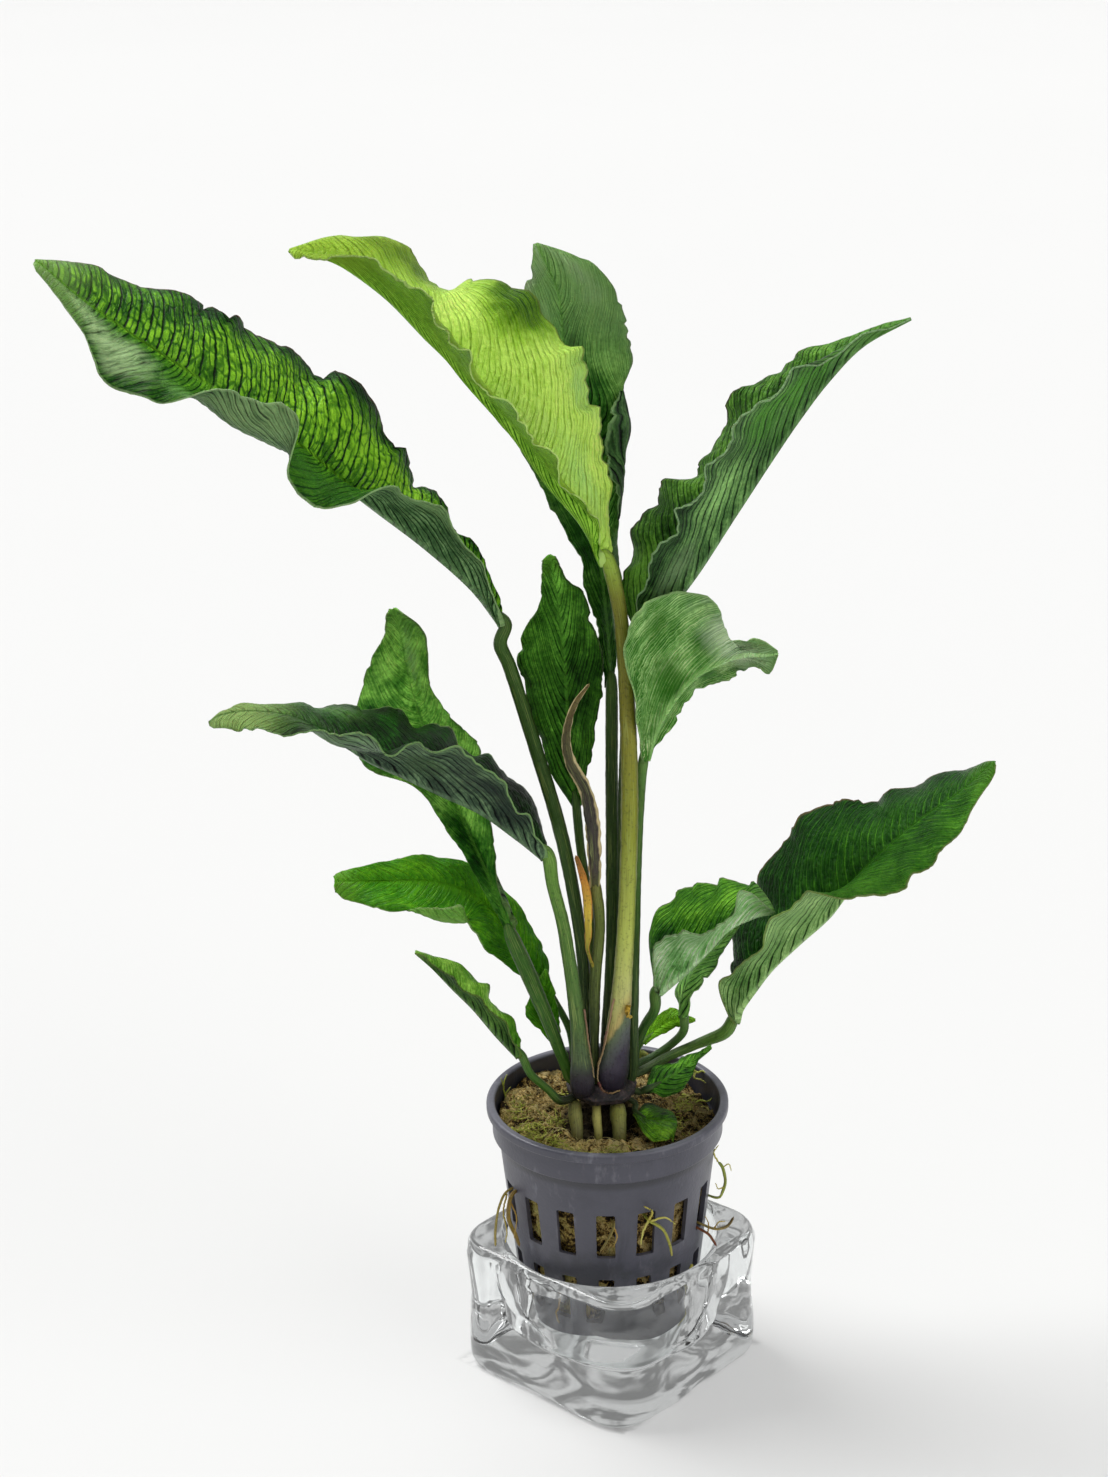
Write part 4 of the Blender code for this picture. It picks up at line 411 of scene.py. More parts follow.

# How each blade looks. Face is 1 where the upper side faces along the sheet's own normal, and -1 where it
# faces the other way. Teeth are the depths on the (far, near) margin. Veins are (spacing in mm, lean towards
# the tip in the far half, in the near half). Upper and under are (pattern, deep colour, light colour). Tip is
# (colour, where it begins along the blade), and margins are the colours of the (far, near) edge; the brown
# edges are the leaf's own colour, and the pale ones are partly painted highlight along lit edges and folds.
# Lift is painted light: how much lighter the upper side is painted (towards its tip, towards its near edge).
# Blunt says how round the tip is, and frill how deep the small waves are. An area is (place along, place
# across, reach along, reach across, shift of the tone or a colour); areas hold the leaf's own patches, and
# also painted sheen and highlights. A notch is (half, place along, depth in mm, width along).
Look = namedtuple("Look", "face teeth veins under_veins upper under tip margins lift blunt frill"
                  " upper_areas under_areas notches", defaults=((0.0, 0.0), 0.0, 1.0, (), (), ()))
LOOKS = {
    "far_left": Look(
        -1, (0.7, 0.15), (2.5, 0.55, 0.9), (3, 3.2, 3.6), ("network", (18, 74, 4), (154, 222, 50)),
        ("ridges", (24, 62, 24), (150, 190, 126)), ((135, 175, 93), 0.9), ((74, 52, 40), (150, 184, 124)),
        lift=(-0.05, -0.1), blunt=0.35, upper_areas=((0.46, -0.42, 0.34, 0.4, 0.34),
        (0.3, -0.6, 0.14, 0.4, 0.25), (0.55, -1, 0.5, 0.22, -0.4), (0.86, 0.5, 0.16, 0.5, (180, 212, 150)),
        (0.66, 0.55, 0.16, 0.3, (96, 150, 66)), (0.64, 0.75, 0.1, 0.4, (121, 166, 96)),
        (0.8, -0.5, 0.1, 0.3, -0.35), (0.44, 0.6, 0.16, 0.5, (52, 108, 22))),
        under_areas=((0.25, 0.85, 0.22, 0.25, (142, 184, 117)), (0.58, 0.8, 0.12, 0.35, (136, 171, 109))),
        notches=((-1, 0.375, 3, 0.05), (-1, 0.505, 4, 0.05), (-1, 0.69, 3.5, 0.04), (-1, 0.74, 1.6, 0.03),
        (-1, 0.29, 2.4, 0.03), (-1, 0.23, 1.6, 0.03))),
    "top": Look(
        -1, (0.35, 0.9), (2.6, 1.4, 4.5), (2.4, 4.5, 6), ("soft_stripes", (130, 186, 28), (214, 255, 112)),
        ("strips", (62, 132, 4), (186, 246, 84)), ((145, 181, 47), 0.8), ((112, 134, 52), (176, 206, 120)),
        lift=(-0.35, -0.2), blunt=0.45, frill=2.2, upper_areas=((0.585, -0.86, 0.065, 0.5, (22, 70, 2)),
        (0.585, -0.86, 0.06, 0.45, -0.8), (0.82, -0.8, 0.16, 0.45, (50, 100, 8)),
        (0.66, -0.35, 0.07, 0.5, 0.3), (0.22, -0.45, 0.18, 0.4, (180, 229, 119)),
        (0.4, -0.85, 0.14, 0.25, (173, 223, 115)), (0.36, 0.1, 0.2, 0.6, (190, 224, 112)),
        (0.12, 0, 0.1, 0.8, (176, 214, 96))), notches=((1, 0.62, 1.2, 0.02), (1, 0.5, 1, 0.02),
        (1, 0.4, 1, 0.02), (-1, 0.645, 1.6, 0.012), (-1, 0.71, 1, 0.012), (1, 0.72, 1.2, 0.02),
        (1, 0.3, 0.8, 0.02))),
    "back": Look(
        1, (0.6, 0.6), (3, 4, 4.4), (4.4, 3, 3), ("leathery", (28, 86, 10), (156, 214, 104)),
        ("ridges", (17, 44, 15), (92, 134, 72)), ((121, 164, 95), 0.72), ((122, 156, 104), (132, 168, 108)),
        lift=(0.75, 0), blunt=0.12, upper_areas=((0.98, -0.6, 0.11, 0.7, (238, 250, 224)),
        (0.9, -0.95, 0.15, 0.35, (226, 240, 204)), (0.93, 0.55, 0.13, 0.45, (200, 228, 172)),
        (0.8, -0.5, 0.12, 0.35, (174, 216, 138)), (0.6, 0.1, 0.2, 0.4, -0.3), (0.66, 0.7, 0.2, 0.3, 0.25),
        (0.3, -0.2, 0.2, 0.6, -0.25)), notches=((-1, 0.9, 1.8, 0.03), (1, 0.95, 1.6, 0.03),
        (1, 0.86, 1.2, 0.02), (1, 0.78, 0.8, 0.02))),
    "upper_right": Look(
        1, (0.5, 0.7), (2.6, 1.2, 1.2), (4.6, 3, 3.2), ("leathery", (23, 64, 6), (118, 177, 63)),
        ("ridges", (27, 62, 23), (138, 188, 106)), ((88, 147, 47), 0.84), ((70, 60, 50), (148, 184, 132)),
        lift=(0.1, -0.1), frill=1.6, upper_areas=((0.16, -0.6, 0.1, 0.4, 0.45), (0.45, -0.6, 0.12, 0.4, 0.2),
        (0.3, -0.5, 0.08, 0.5, -0.25), (0.86, -0.5, 0.1, 0.5, 0.25)),
        under_areas=((0.7, 0.5, 0.22, 0.5, (78, 145, 40)), (0.28, 0.75, 0.2, 0.3, -0.45),
        (0.2, 0.3, 0.2, 0.3, (109, 140, 93)), (0.42, 0.35, 0.12, 0.35, 0.3)), notches=((-1, 0.79, 1.8, 0.02),
        (-1, 0.33, 0.9, 0.03), (-1, 0.72, 1, 0.015))),
    "centre": Look(
        1, (0.5, 0.5), (3.4, 3.8, 3.8), (3.4, 2.4, 2.4), ("leathery", (20, 68, 6), (140, 222, 78)),
        ("ridges", (27, 58, 18), (100, 141, 70)), ((102, 162, 47), 0.9), ((84, 124, 52), (60, 84, 40)),
        lift=(0.1, 0), blunt=0.5, upper_areas=((0.88, 0.2, 0.1, 0.6, 0.45), (0.55, -0.5, 0.2, 0.4, 0.15),
        (0.5, 0.6, 0.3, 0.4, -0.2)), notches=((-1, 0.58, 1, 0.04), (1, 0.7, 0.8, 0.03))),
    "pale_right": Look(
        1, (0.4, 0.7), (3, 5, 5), (3, 5, 5), ("crinkled", (48, 114, 18), (184, 236, 130)),
        ("crinkled", (52, 122, 26), (206, 250, 162)), ((140, 186, 112), 0.86),
        ((150, 190, 112), (160, 200, 130)), lift=(0, 0.2), blunt=0.2, frill=1.8,
        under_areas=((0.42, 0.2, 0.15, 0.38, (48, 112, 14)), (0.56, -0.35, 0.11, 0.34, (50, 116, 16)),
        (0.62, 0.3, 0.09, 0.3, (46, 110, 12)), (0.5, 0.65, 0.09, 0.26, (54, 118, 20)),
        (0.7, -0.1, 0.08, 0.3, (50, 116, 18)), (0.8, 0.1, 0.24, 1.4, (230, 252, 210)),
        (0.2, -0.3, 0.15, 0.5, (104, 150, 84))), notches=((1, 0.9, 1.6, 0.03), (-1, 0.88, 1.2, 0.03),
        (-1, 0.3, 1, 0.02), (-1, 0.24, 1, 0.02))),
    "mid_left": Look(
        -1, (0.5, 0.4), (2.6, 1.2, 1.2), (4.2, 2.6, 2.8), ("leathery", (3, 26, 1), (38, 104, 16)),
        ("ridges", (24, 40, 32), (138, 174, 124)), ((156, 188, 104), 0.8), ((132, 172, 92), (134, 172, 108)),
        lift=(0.25, 0), blunt=0.3, frill=1.6, upper_areas=((0.7, -0.6, 0.12, 0.4, (92, 142, 66)),
        (0.74, 0.2, 0.12, 1, (66, 104, 46)), (0.4, -0.5, 0.25, 0.6, -0.3)),
        under_areas=((0.74, 0.5, 0.14, 0.5, (104, 142, 92)), (0.26, 0.5, 0.2, 0.6, (30, 40, 38)),
        (0.5, 0.85, 0.2, 0.22, (126, 162, 112)), (0.42, 0.3, 0.1, 0.3, (66, 92, 58))),
        notches=((1, 0.3, 1.2, 0.03), (-1, 0.5, 1.2, 0.02), (-1, 0.66, 1.4, 0.02), (1, 0.62, 1, 0.02))),
    "left_back": Look(
        -1, (0.4, 0.4), (2.8, 1.6, 1.6), (3.4, 2.4, 2.4), ("mottled", (26, 92, 8), (168, 240, 100)),
        ("ridges", (35, 64, 25), (120, 159, 88)), ((121, 175, 80), 0.92), ((104, 132, 76), (110, 140, 80)),
        lift=(0.6, 0), blunt=0.4, upper_areas=((0.86, -0.3, 0.1, 0.5, (130, 177, 104)),
        (0.7, 0.4, 0.1, 0.4, -0.3), (0.3, 0.3, 0.2, 0.5, -0.2), (0.42, -0.4, 0.1, 0.5, 0.3)),
        notches=((1, 0.82, 1, 0.03), (-1, 0.74, 0.8, 0.03))),
    "low_left": Look(
        -1, (0.25, 0.3), (2.6, 1.6, 1.6), (3.2, 2.2, 2.2), ("soft_veins", (30, 104, 1), (130, 210, 34)),
        ("plain", (76, 135, 39), (152, 204, 94)), ((113, 168, 51), 0.92), ((140, 178, 88), (150, 184, 110)),
        blunt=0.45, upper_areas=((0.75, -0.5, 0.2, 0.35, 0.25), (0.45, 0.5, 0.25, 0.4, -0.2),
        (0.25, -0.4, 0.15, 0.4, 0.2))),
    "small_left": Look(
        -1, (0.5, 0.5), (2.2, 1.6, 1.6), (2.4, 2, 2), ("soft_veins", (46, 122, 6), (152, 236, 58)),
        ("plain", (72, 126, 39), (141, 190, 90)), ((98, 154, 47), 0.9), ((120, 160, 72), (120, 160, 72))),
    "bottom_left": Look(
        -1, (0.5, 0.5), (2, 1.4, 1.4), (2.6, 2.2, 2.2), ("mottled", (52, 116, 8), (168, 226, 88)),
        ("ridges", (31, 64, 20), (105, 150, 66)), ((123, 164, 76), 0.92), ((104, 124, 60), (84, 96, 50)),
        lift=(0.2, 0), blunt=0.3, upper_areas=((0.5, -0.4, 0.2, 0.5, 0.2),), notches=((-1, 0.45, 1, 0.04),
        (1, 0.6, 0.8, 0.03))),
    "far_right": Look(
        1, (0.55, 0.3), (2.3, 0.9, 2), (3.8, 2.4, 2.6), ("fine_pale", (18, 70, 4), (98, 172, 42)),
        ("ridges", (84, 130, 60), (192, 230, 148)), ((86, 141, 42), 0.94), ((110, 92, 64), (136, 150, 92)),
        lift=(0.05, 0.45), blunt=0.35, upper_areas=((0.62, -0.5, 0.2, 0.35, 0.14),
        (0.3, -0.5, 0.15, 0.5, -0.15), (0.82, 0.4, 0.2, 0.4, -0.15)),
        under_areas=((0.3, 0.6, 0.2, 0.4, (140, 184, 109)), (0.15, 0.4, 0.12, 0.5, -0.3)),
        notches=((-1, 0.3, 0.9, 0.02), (-1, 0.44, 1.1, 0.02), (-1, 0.62, 1.2, 0.02))),
    "hooded_right": Look(
        1, (0.25, 0.8), (2.6, 1.8, 1.8), (3, 2.4, 2.4), ("leathery", (26, 86, 4), (134, 206, 56)),
        ("crinkled", (110, 174, 88), (234, 254, 212)), ((127, 168, 99), 0.84),
        ((120, 150, 84), (150, 178, 128)), lift=(0, -0.1), blunt=0.35, frill=2,
        upper_areas=((0.55, 0.2, 0.2, 0.4, -0.3), (0.25, -0.3, 0.15, 0.5, -0.3),
        (0.75, -0.5, 0.12, 0.4, 0.3)), under_areas=((0.5, 0.6, 0.2, 0.4, (146, 186, 128)),
        (0.25, 0.4, 0.14, 0.4, -0.35)), notches=((1, 0.3, 1.2, 0.03), (1, 0.55, 1, 0.02), (1, 0.75, 1, 0.02),
        (1, 0.42, 0.8, 0.02))),
    "narrow_right": Look(
        -1, (0.6, 0.6), (2.2, 1.6, 1.6), (2.6, 2.4, 2.4), ("soft_veins", (19, 60, 9), (72, 127, 41)),
        ("ridges", (55, 108, 33), (148, 202, 99)), ((123, 177, 86), 0.85), ((120, 160, 96), (130, 168, 104)),
        lift=(0, 0.2)),
    "tiny_right": Look(
        1, (0.5, 0.5), (1.8, 1.4, 1.4), (1.8, 1.4, 1.4), ("plain", (82, 147, 10), (150, 215, 41)),
        ("plain", (82, 141, 30), (139, 195, 68)), ((131, 183, 57), 0.9), ((130, 172, 60), (130, 172, 60))),
    "over_soil": Look(
        1, (0.5, 0.5), (2.2, 1.6, 1.6), (2.2, 2, 2), ("leathery", (18, 66, 4), (134, 206, 60)),
        ("ridges", (39, 81, 22), (98, 145, 59)), ((98, 147, 53), 0.92), ((96, 130, 64), (84, 120, 56)),
        lift=(0, 0.1), blunt=0.3, upper_areas=((0.5, -0.5, 0.2, 0.4, 0.3),), notches=((-1, 0.6, 0.8, 0.05),)),
    "round_front": Look(
        1, (0.1, 0.1), (2.2, 1.2, 1.2), (2.2, 1.2, 1.2), ("soft_veins", (8, 40, 1), (150, 222, 52)),
        ("plain", (58, 100, 22), (120, 170, 35)), ((62, 106, 38), 0.95), ((96, 130, 60), (150, 190, 62)),
        lift=(0, 0.2), blunt=0.6, upper_areas=((0.75, 0.7, 0.3, 0.25, (132, 186, 42)),
        (0.3, -0.4, 0.2, 0.4, 0.3))),
}

# What each pattern adds to the share of the light colour: a steady part, patches, clouds, the cells between
# the fine veins, the side veins themselves, and broad bands between the side veins. Quilt is how far the
# surface swells between its veins, in mm, and streak is how strongly it is streaked along its veins.
Pattern = namedtuple("Pattern", "steady patch cloud cell vein band quilt streak", defaults=(1.05,))
PATTERNS = {
    "network": Pattern(0.18, 0.45, 0.6, 0.46, -0.75, 0.1, 0.14),
    "leathery": Pattern(0.35, 0.6, 0.9, 0.1, -0.4, 0.06, 0.12, 1.5),
    "fine_pale": Pattern(0.24, 0.4, 0.6, 0.08, 0.4, -0.06, 0.12),
    "soft_veins": Pattern(0.38, 0.5, 0.6, 0.08, 0.16, -0.04, 0.09),
    "ridges": Pattern(0.36, 0.6, 0.7, 0, -0.66, 0.22, 0.1, 1.7),
    "strips": Pattern(0.46, 0.4, 0.4, 0, -0.6, 0.45, 0.1),
    "crinkled": Pattern(0.44, 0.6, 1.1, 0.1, 0.4, -0.2, 0.26, 2.4),
    "soft_stripes": Pattern(0.62, 0.55, 0.35, 0.05, -0.06, 0.04, 0.06, 0.75),
    "mottled": Pattern(0.4, 0.8, 1.4, 0.16, 0.12, 0, 0.1),
    "plain": Pattern(0.42, 0.45, 0.5, 0.05, 0.1, 0, 0.05),
}

# How each stalk, dry piece and root is coloured along its length, from its first spot to its last:
# (share of the way, red, green, blue).
STALK_LOOKS = {
    "stem_far_left": ((0, 60, 92, 34), (0.06, 56, 92, 26), (0.55, 50, 84, 22), (1, 30, 46, 24)),
    "stem_top": ((0, 156, 194, 62), (0.05, 136, 160, 50), (0.1, 120, 122, 34), (0.3, 128, 124, 34),
        (0.52, 144, 152, 48), (0.7, 184, 196, 90), (0.82, 196, 198, 120), (0.862, 196, 176, 108),
        (0.876, 100, 116, 84), (0.91, 88, 94, 90), (0.945, 66, 60, 74), (1, 44, 38, 50)),
    "stem_back": ((0, 66, 104, 32), (0.2, 46, 76, 20), (0.75, 52, 80, 28), (1, 28, 34, 26)),
    "stem_upper_right": ((0, 60, 96, 34), (0.3, 44, 74, 22), (1, 34, 46, 28)),
    "stem_centre": ((0, 40, 80, 20), (0.5, 74, 100, 30), (1, 36, 44, 26)),
    "stem_pale_right": ((0, 104, 150, 72), (0.2, 74, 116, 44), (1, 44, 66, 30)),
    "stem_mid_left": ((0, 108, 156, 58), (0.3, 84, 128, 44), (0.7, 78, 112, 50), (0.86, 82, 102, 66),
        (0.92, 58, 56, 58), (0.96, 46, 40, 50), (1, 38, 34, 42)),
    "stem_left_back": ((0, 60, 108, 34), (0.6, 62, 112, 28), (1, 70, 118, 32)),
    "stem_low_left": ((0, 70, 122, 34), (1, 52, 96, 30)),
    "stem_small_left": ((0, 66, 112, 36), (1, 52, 92, 30)),
    "stem_bottom_left": ((0, 62, 110, 26), (0.84, 54, 96, 24), (1, 24, 30, 14)),
    "stem_far_right": ((0, 90, 136, 46), (0.4, 86, 128, 44), (1, 56, 78, 38)),
    "stem_hooded_right": ((0, 94, 140, 54), (0.5, 52, 96, 34), (1, 40, 66, 34)),
    "stem_narrow_right": ((0, 96, 140, 66), (1, 56, 90, 40)),
    "stem_tiny_right": ((0, 100, 148, 46), (1, 84, 120, 44)),
    "stem_over_soil": ((0, 50, 84, 34), (1, 44, 66, 32)),
    "stem_round_front": ((0, 52, 84, 30), (1, 48, 62, 32)),
    "stem_withered": ((0, 118, 118, 56), (0.2, 98, 112, 44), (1, 60, 76, 36)),
    "withered_shoot": ((0, 120, 96, 56), (0.25, 78, 70, 44), (0.5, 64, 60, 44), (0.6, 56, 50, 46),
        (0.9, 66, 58, 52), (1, 88, 92, 52)),
    "yellow_sheath": ((0, 140, 84, 36), (0.25, 200, 128, 42), (0.6, 222, 192, 66), (1, 160, 150, 50)),
    "yellow_stub": ((0, 120, 140, 48), (0.6, 176, 178, 84), (1, 214, 198, 130)),
    "prop_root_left": ((0, 96, 92, 48), (0.5, 134, 132, 66), (1, 92, 88, 44)),
    "prop_root_middle": ((0, 110, 100, 52), (0.5, 188, 180, 98), (1, 130, 124, 62)),
    "prop_root_right": ((0, 96, 90, 46), (0.4, 142, 142, 68), (1, 98, 96, 46)),
    "root_left_thin": ((0, 158, 140, 62), (1, 190, 172, 96)),
    "root_left_thick": ((0, 150, 120, 50), (0.6, 168, 138, 58), (1, 140, 112, 60)),
    "root_right_loop": ((0, 150, 164, 72), (1, 170, 180, 90)),
    "root_right_outer": ((0, 160, 140, 80), (1, 118, 84, 48)),
    "root_right_red": ((0, 132, 66, 42), (1, 112, 52, 40)),
    "root_front": ((0, 166, 168, 62), (1, 184, 176, 84)),
    "root_front_slot": ((0, 150, 132, 66), (1, 156, 136, 76)),
}


def screen(red, green, blue):
    """A linear colour from screen values of 0 to 255."""
    return tuple(((value / 255 + 0.055) / 1.055) ** 2.4 if value > 10 else value / 255 / 12.92
                 for value in (red, green, blue))


def colour_property(name, colour, description):
    """A colour that a user may change."""
    return FloatVectorProperty(name=name, description=description, default=screen(*colour), size=3,
                               min=0.0, max=1.0, subtype="COLOR")


def length_property(name, default, low, high, description):
    """A length that a user may change."""
    return FloatProperty(name=name, description=description, default=default, min=low, max=high,
                         unit="LENGTH", precision=5)


def count_property(name, default, low, high, description):
    """A whole number that a user may change."""
    return IntProperty(name=name, description=description, default=default, min=low, max=high)


def number_property(name, default, high, description, low=0.0, subtype="NONE"):
    """A number that a user may change."""
    return FloatProperty(name=name, description=description, default=default, min=low, max=high,
                         subtype=subtype)


def roughness_property(default, description):
    """How dull a surface is."""
    return number_property("Roughness", default, 1.0, description, subtype="FACTOR")


class HolderSettings(PropertyGroup):
    """The clear holder."""
    tint: colour_property("Tint", (244, 247, 247), "Colour of the clear glass")
    bend: number_property("IOR", 1.50, 2.0, "Index of refraction of the glass", low=1.0)
    ripple: length_property("Ripple", 0.00045, 0.0, 0.001, "How far the pressed glass waves")


class PotSettings(PropertyGroup):
    """The net pot."""
    plastic: colour_property("Plastic", (72, 72, 83), "Main colour of the moulded plastic")
    worn: colour_property("Worn plastic", (128, 128, 138), "Colour where the plastic is scuffed and dusty")
    # Besides the damp stains, this colour is painted on the rim's inner wall as painted shade
    inside: colour_property("Damp plastic", (48, 48, 54), "Colour of damp plastic and of the rim's inside")
    roughness: roughness_property(0.38, "How dull the plastic is")


class MediumSettings(PropertyGroup):
    """The growing medium and what grows on it."""
    fibre: colour_property("Fibre", (224, 194, 124), "Colour of the dry fibres")
    damp: colour_property("Damp fibre", (146, 119, 58), "Colour of the damp fibres between them")
    moss: colour_property("Moss", (166, 178, 54), "Colour of the moss")
    fibre_count: count_property("Fibres", 900, 0, 4000, "Number of loose fibres on the medium")
    moss_count: count_property("Moss leaves", 1500, 0, 8000, "Number of moss leaves")


class BladeSettings(PropertyGroup):
    """What all the blades share."""
    edge_thickness: length_property("Edge thickness", 0.00035, 0.0001, 0.0007,
                                    "Thickness of a blade at its margin")
    rib_thickness: length_property("Rib thickness", 0.0006, 0.0002, 0.0014,
                                   "Thickness of a blade beside its midrib")
    tooth_depth: length_property("Tooth depth", 0.0008, 0.0, 0.002, "Depth of the small teeth on the margins")
    fine_ruffle: length_property("Fine ruffle", 0.0006, 0.0, 0.002,
                                 "Height of the small waves at the margins")
    swell: length_property("Swell", 0.0007, 0.0, 0.003, "Height of the broad bumps in a blade")
    row_pitch: length_property("Row pitch", 0.0007, 0.0003, 0.005,
                               "Distance between a blade's rows of points")
    column_pitch: length_property("Column pitch", 0.0013, 0.0003, 0.005,
                                  "Usual distance between points across a blade")
    roughness: roughness_property(0.38, "How dull the blades are")


class StalkSettings(PropertyGroup):
    """What all the stalks and roots share."""
    sides: count_property("Sides", 20, 6, 48, "Points round a stalk")
    ring_pitch: length_property("Ring pitch", 0.0006, 0.0003, 0.005, "Distance between a stalk's rings")
    roughness: roughness_property(0.42, "How dull the stalks are")


class StageSettings(PropertyGroup):
    """The floor and the light."""
    floor: colour_property("Floor", (176, 176, 175), "Colour of the floor")
    glow: number_property("Floor glow", 0.34, 2.0, "How much the backlit floor shines by itself")
    sky: number_property("Surround light", 0.42, 5.0, "Strength of the light from all round")
    key: number_property("Main light", 3.1, 20.0, "Strength of the broad light from the upper left")
    fill: number_property("Front light", 1.0, 20.0, "Strength of the soft light from the front")


class Shade:
    """Puts one node material together."""

    def __init__(self, name):
        self.material = bpy.data.materials.new(name)
        self.material.use_nodes = True
        self.tree = self.material.node_tree
        self.shader = self.tree.nodes["Principled BSDF"]

    def feed(self, socket, value):
        """Link a socket to another, or set it."""
        if isinstance(value, bpy.types.NodeSocket):
            self.tree.links.new(value, socket)
        elif isinstance(value, tuple) and len(value) == 3 and socket.type == "RGBA":
            socket.default_value = (*value, 1.0)
        else:
            socket.default_value = value

    def feed_named(self, node, sockets):
        """Feed sockets of a node by their names."""
        for name, value in sockets.items():
            self.feed(node.inputs[name.replace("_", " ")], value)

    def node(self, kind, *values, settings=(), **sockets):
        """A new node with its (name, value) settings. Values go to its first sockets."""
        node = self.tree.nodes.new("ShaderNode" + kind)
        for name, value in settings:
            setattr(node, name, value)
        for socket, value in zip(node.inputs, values):
            self.feed(socket, value)
        self.feed_named(node, sockets)
        return node

    def math(self, operation, first, second=0.0, third=0.0, clamp=False):
        """One sum."""
        settings = (("operation", operation), ("use_clamp", clamp))
        return self.node("Math", first, second, third, settings=settings).outputs[0]

    def times(self, first, second):
        """The product of two values."""
        return self.math("MULTIPLY", first, second)

    def total(self, *parts, clamp=False):
        """The sum of values and of (value, weight) pairs."""
        result = None
        for part in parts:
            value, weight = part if isinstance(part, tuple) else (part, 1.0)
            if weight == 0.0:
                continue
            if result is None:
                result = value if weight == 1.0 else self.times(value, weight)
            elif weight == 1.0:
                result = self.math("ADD", result, value)
            else:
                result = self.math("MULTIPLY_ADD", value, weight, result)
        return self.math("ADD", result, 0.0, clamp=True) if clamp else result

    def centred(self, value, weight=1.0):
        """A value between 0 and 1 turned into one around 0."""
        return self.math("MULTIPLY_ADD", value, weight, -0.5 * weight)

    def length(self, vector):
        """The length of a vector."""
        return self.node("VectorMath", vector, settings=[("operation", "LENGTH")]).outputs["Value"]

    def step(self, value, low, high):
        """A smooth step from 0 at low to 1 at high. Low may be the larger."""
        return self.node("MapRange", value, low, high,
                         settings=[("interpolation_type", "SMOOTHSTEP")]).outputs["Result"]

    def mix(self, share, first, second):
        """A blend of two colours."""
        node = self.node("Mix", share, settings=[("data_type", "RGBA")])
        self.feed(node.inputs[6], first)
        self.feed(node.inputs[7], second)
        return node.outputs[2]

    def tint(self, colour, share, weight, tint):
        """A colour with some of a tint of screen values over it, where share says."""
        return self.mix(self.times(share, weight), colour, screen(*tint))

    def noise(self, place, scale, detail=2.0, roughness=0.5, distortion=0.0):
        """Uneven values between 0 and 1."""
        return self.node("TexNoise", place, Scale=scale, Detail=detail, Roughness=roughness,
                         Distortion=distortion).outputs["Fac"]

    def uneven(self, *place_and_grain):
        """Uneven values around 0."""
        return self.centred(self.noise(*place_and_grain))

    def cells(self, place, scale, unevenness=1.0):
        """The distance to the nearest border of a field of cells."""
        return self.node("TexVoronoi", place, settings=[("feature", "DISTANCE_TO_EDGE")], Scale=scale,
                         Randomness=unevenness).outputs["Distance"]

    def ramp(self, share, stops):
        """A colour from a row of (place, colour) stops."""
        node = self.node("ValToRGB", share)
        elements = node.color_ramp.elements
        elements[0].position, elements[1].position = stops[0][0], stops[-1][0]
        elements[0].color, elements[1].color = (*stops[0][1], 1.0), (*stops[-1][1], 1.0)
        for position, colour in stops[1:-1]:
            elements.new(position).color = (*colour, 1.0)
        return node.outputs["Color"]

    def attribute(self, name):
        """The three numbers of a vector kept at the mesh's points."""
        return self.split(self.node("Attribute", settings=[("attribute_name", name)]).outputs["Vector"])

    def place(self):
        """Where the point is, in metres."""
        return self.node("TexCoord").outputs["Object"]

    def split(self, vector):
        """The three numbers of a vector."""
        return self.node("SeparateXYZ", vector).outputs[:]

    def join(self, first, second, third=0.0):
        """A vector of three numbers."""
        return self.node("CombineXYZ", first, second, third).outputs[0]

    def bump(self, height, distance, strength=1.0):
        """Tilt the shading by a height map, in metres."""
        node = self.node("Bump", Strength=strength, Distance=distance, Height=height)
        self.feed(self.shader.inputs["Normal"], node.outputs["Normal"])

    def finish(self, colour, roughness, **constants):
        """Set what the surface is made of. Constants are sockets that are the same all over."""
        self.feed_named(self.shader, {"Base_Color": colour, "Roughness": roughness, **constants})
        return self.material


def new_object(name, data):
    """An object that is linked to the scene."""
    new = bpy.data.objects.new(name, data)
    bpy.context.scene.collection.objects.link(new)
    return new


def new_mesh(name, points, faces):
    """A mesh of points and faces."""
    mesh = bpy.data.meshes.new(name)
    mesh.from_pydata(points, [], faces)
    return mesh


def tube_faces(rings, sides, start=0):
    """The faces of a closed tube whose points lie in rings, one ring after the other."""
    faces = []
    last = start + (rings - 1) * sides
    for base in range(start, last, sides):
        for side in range(sides):
            other = (side + 1) % sides
            faces.append((base + side, base + other, base + sides + other, base + sides + side))
    return faces + [tuple(range(base, base + sides)) for base in (start, last)]


def place_piece(name, mesh, materials, slot, *nodes):
    """Put a finished mesh in the scene as a piece that stands for the given solids."""
    for material in materials:
        mesh.materials.append(material)
    piece = new_object(name, mesh)
    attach(piece, "root")
    if nodes:
        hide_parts(*nodes)
    return piece


def slot_of(node):
    """The record's material slot of a solid."""
    return next(row["material_slot"] for row in frame["record"]["subparts"] if row["node"] == node)


def keep_values(mesh, name, values):
    """Keep a vector at each point of a mesh, for its materials."""
    attribute = mesh.attributes.new(name, "FLOAT_VECTOR", "POINT")
    attribute.data.foreach_set("vector", [number for value in values for number in value])


def spot(across, up, depth):
    """The point at a world depth (mm) that lies behind or before a place on the drawing sheet."""
    on_sheet = SHEET_MIDDLE + SHEET_FACING @ Vector((across, 0.0, up)) * MM
    reach = (depth * MM - EYE.y) / (on_sheet.y - EYE.y)
    return EYE + (on_sheet - EYE) * reach


def wobble(place, seed):
    """An uneven wave between about -1 and 1."""
    return 1.6 * noise_at(Vector((place, seed * 7.31, 0.5)))


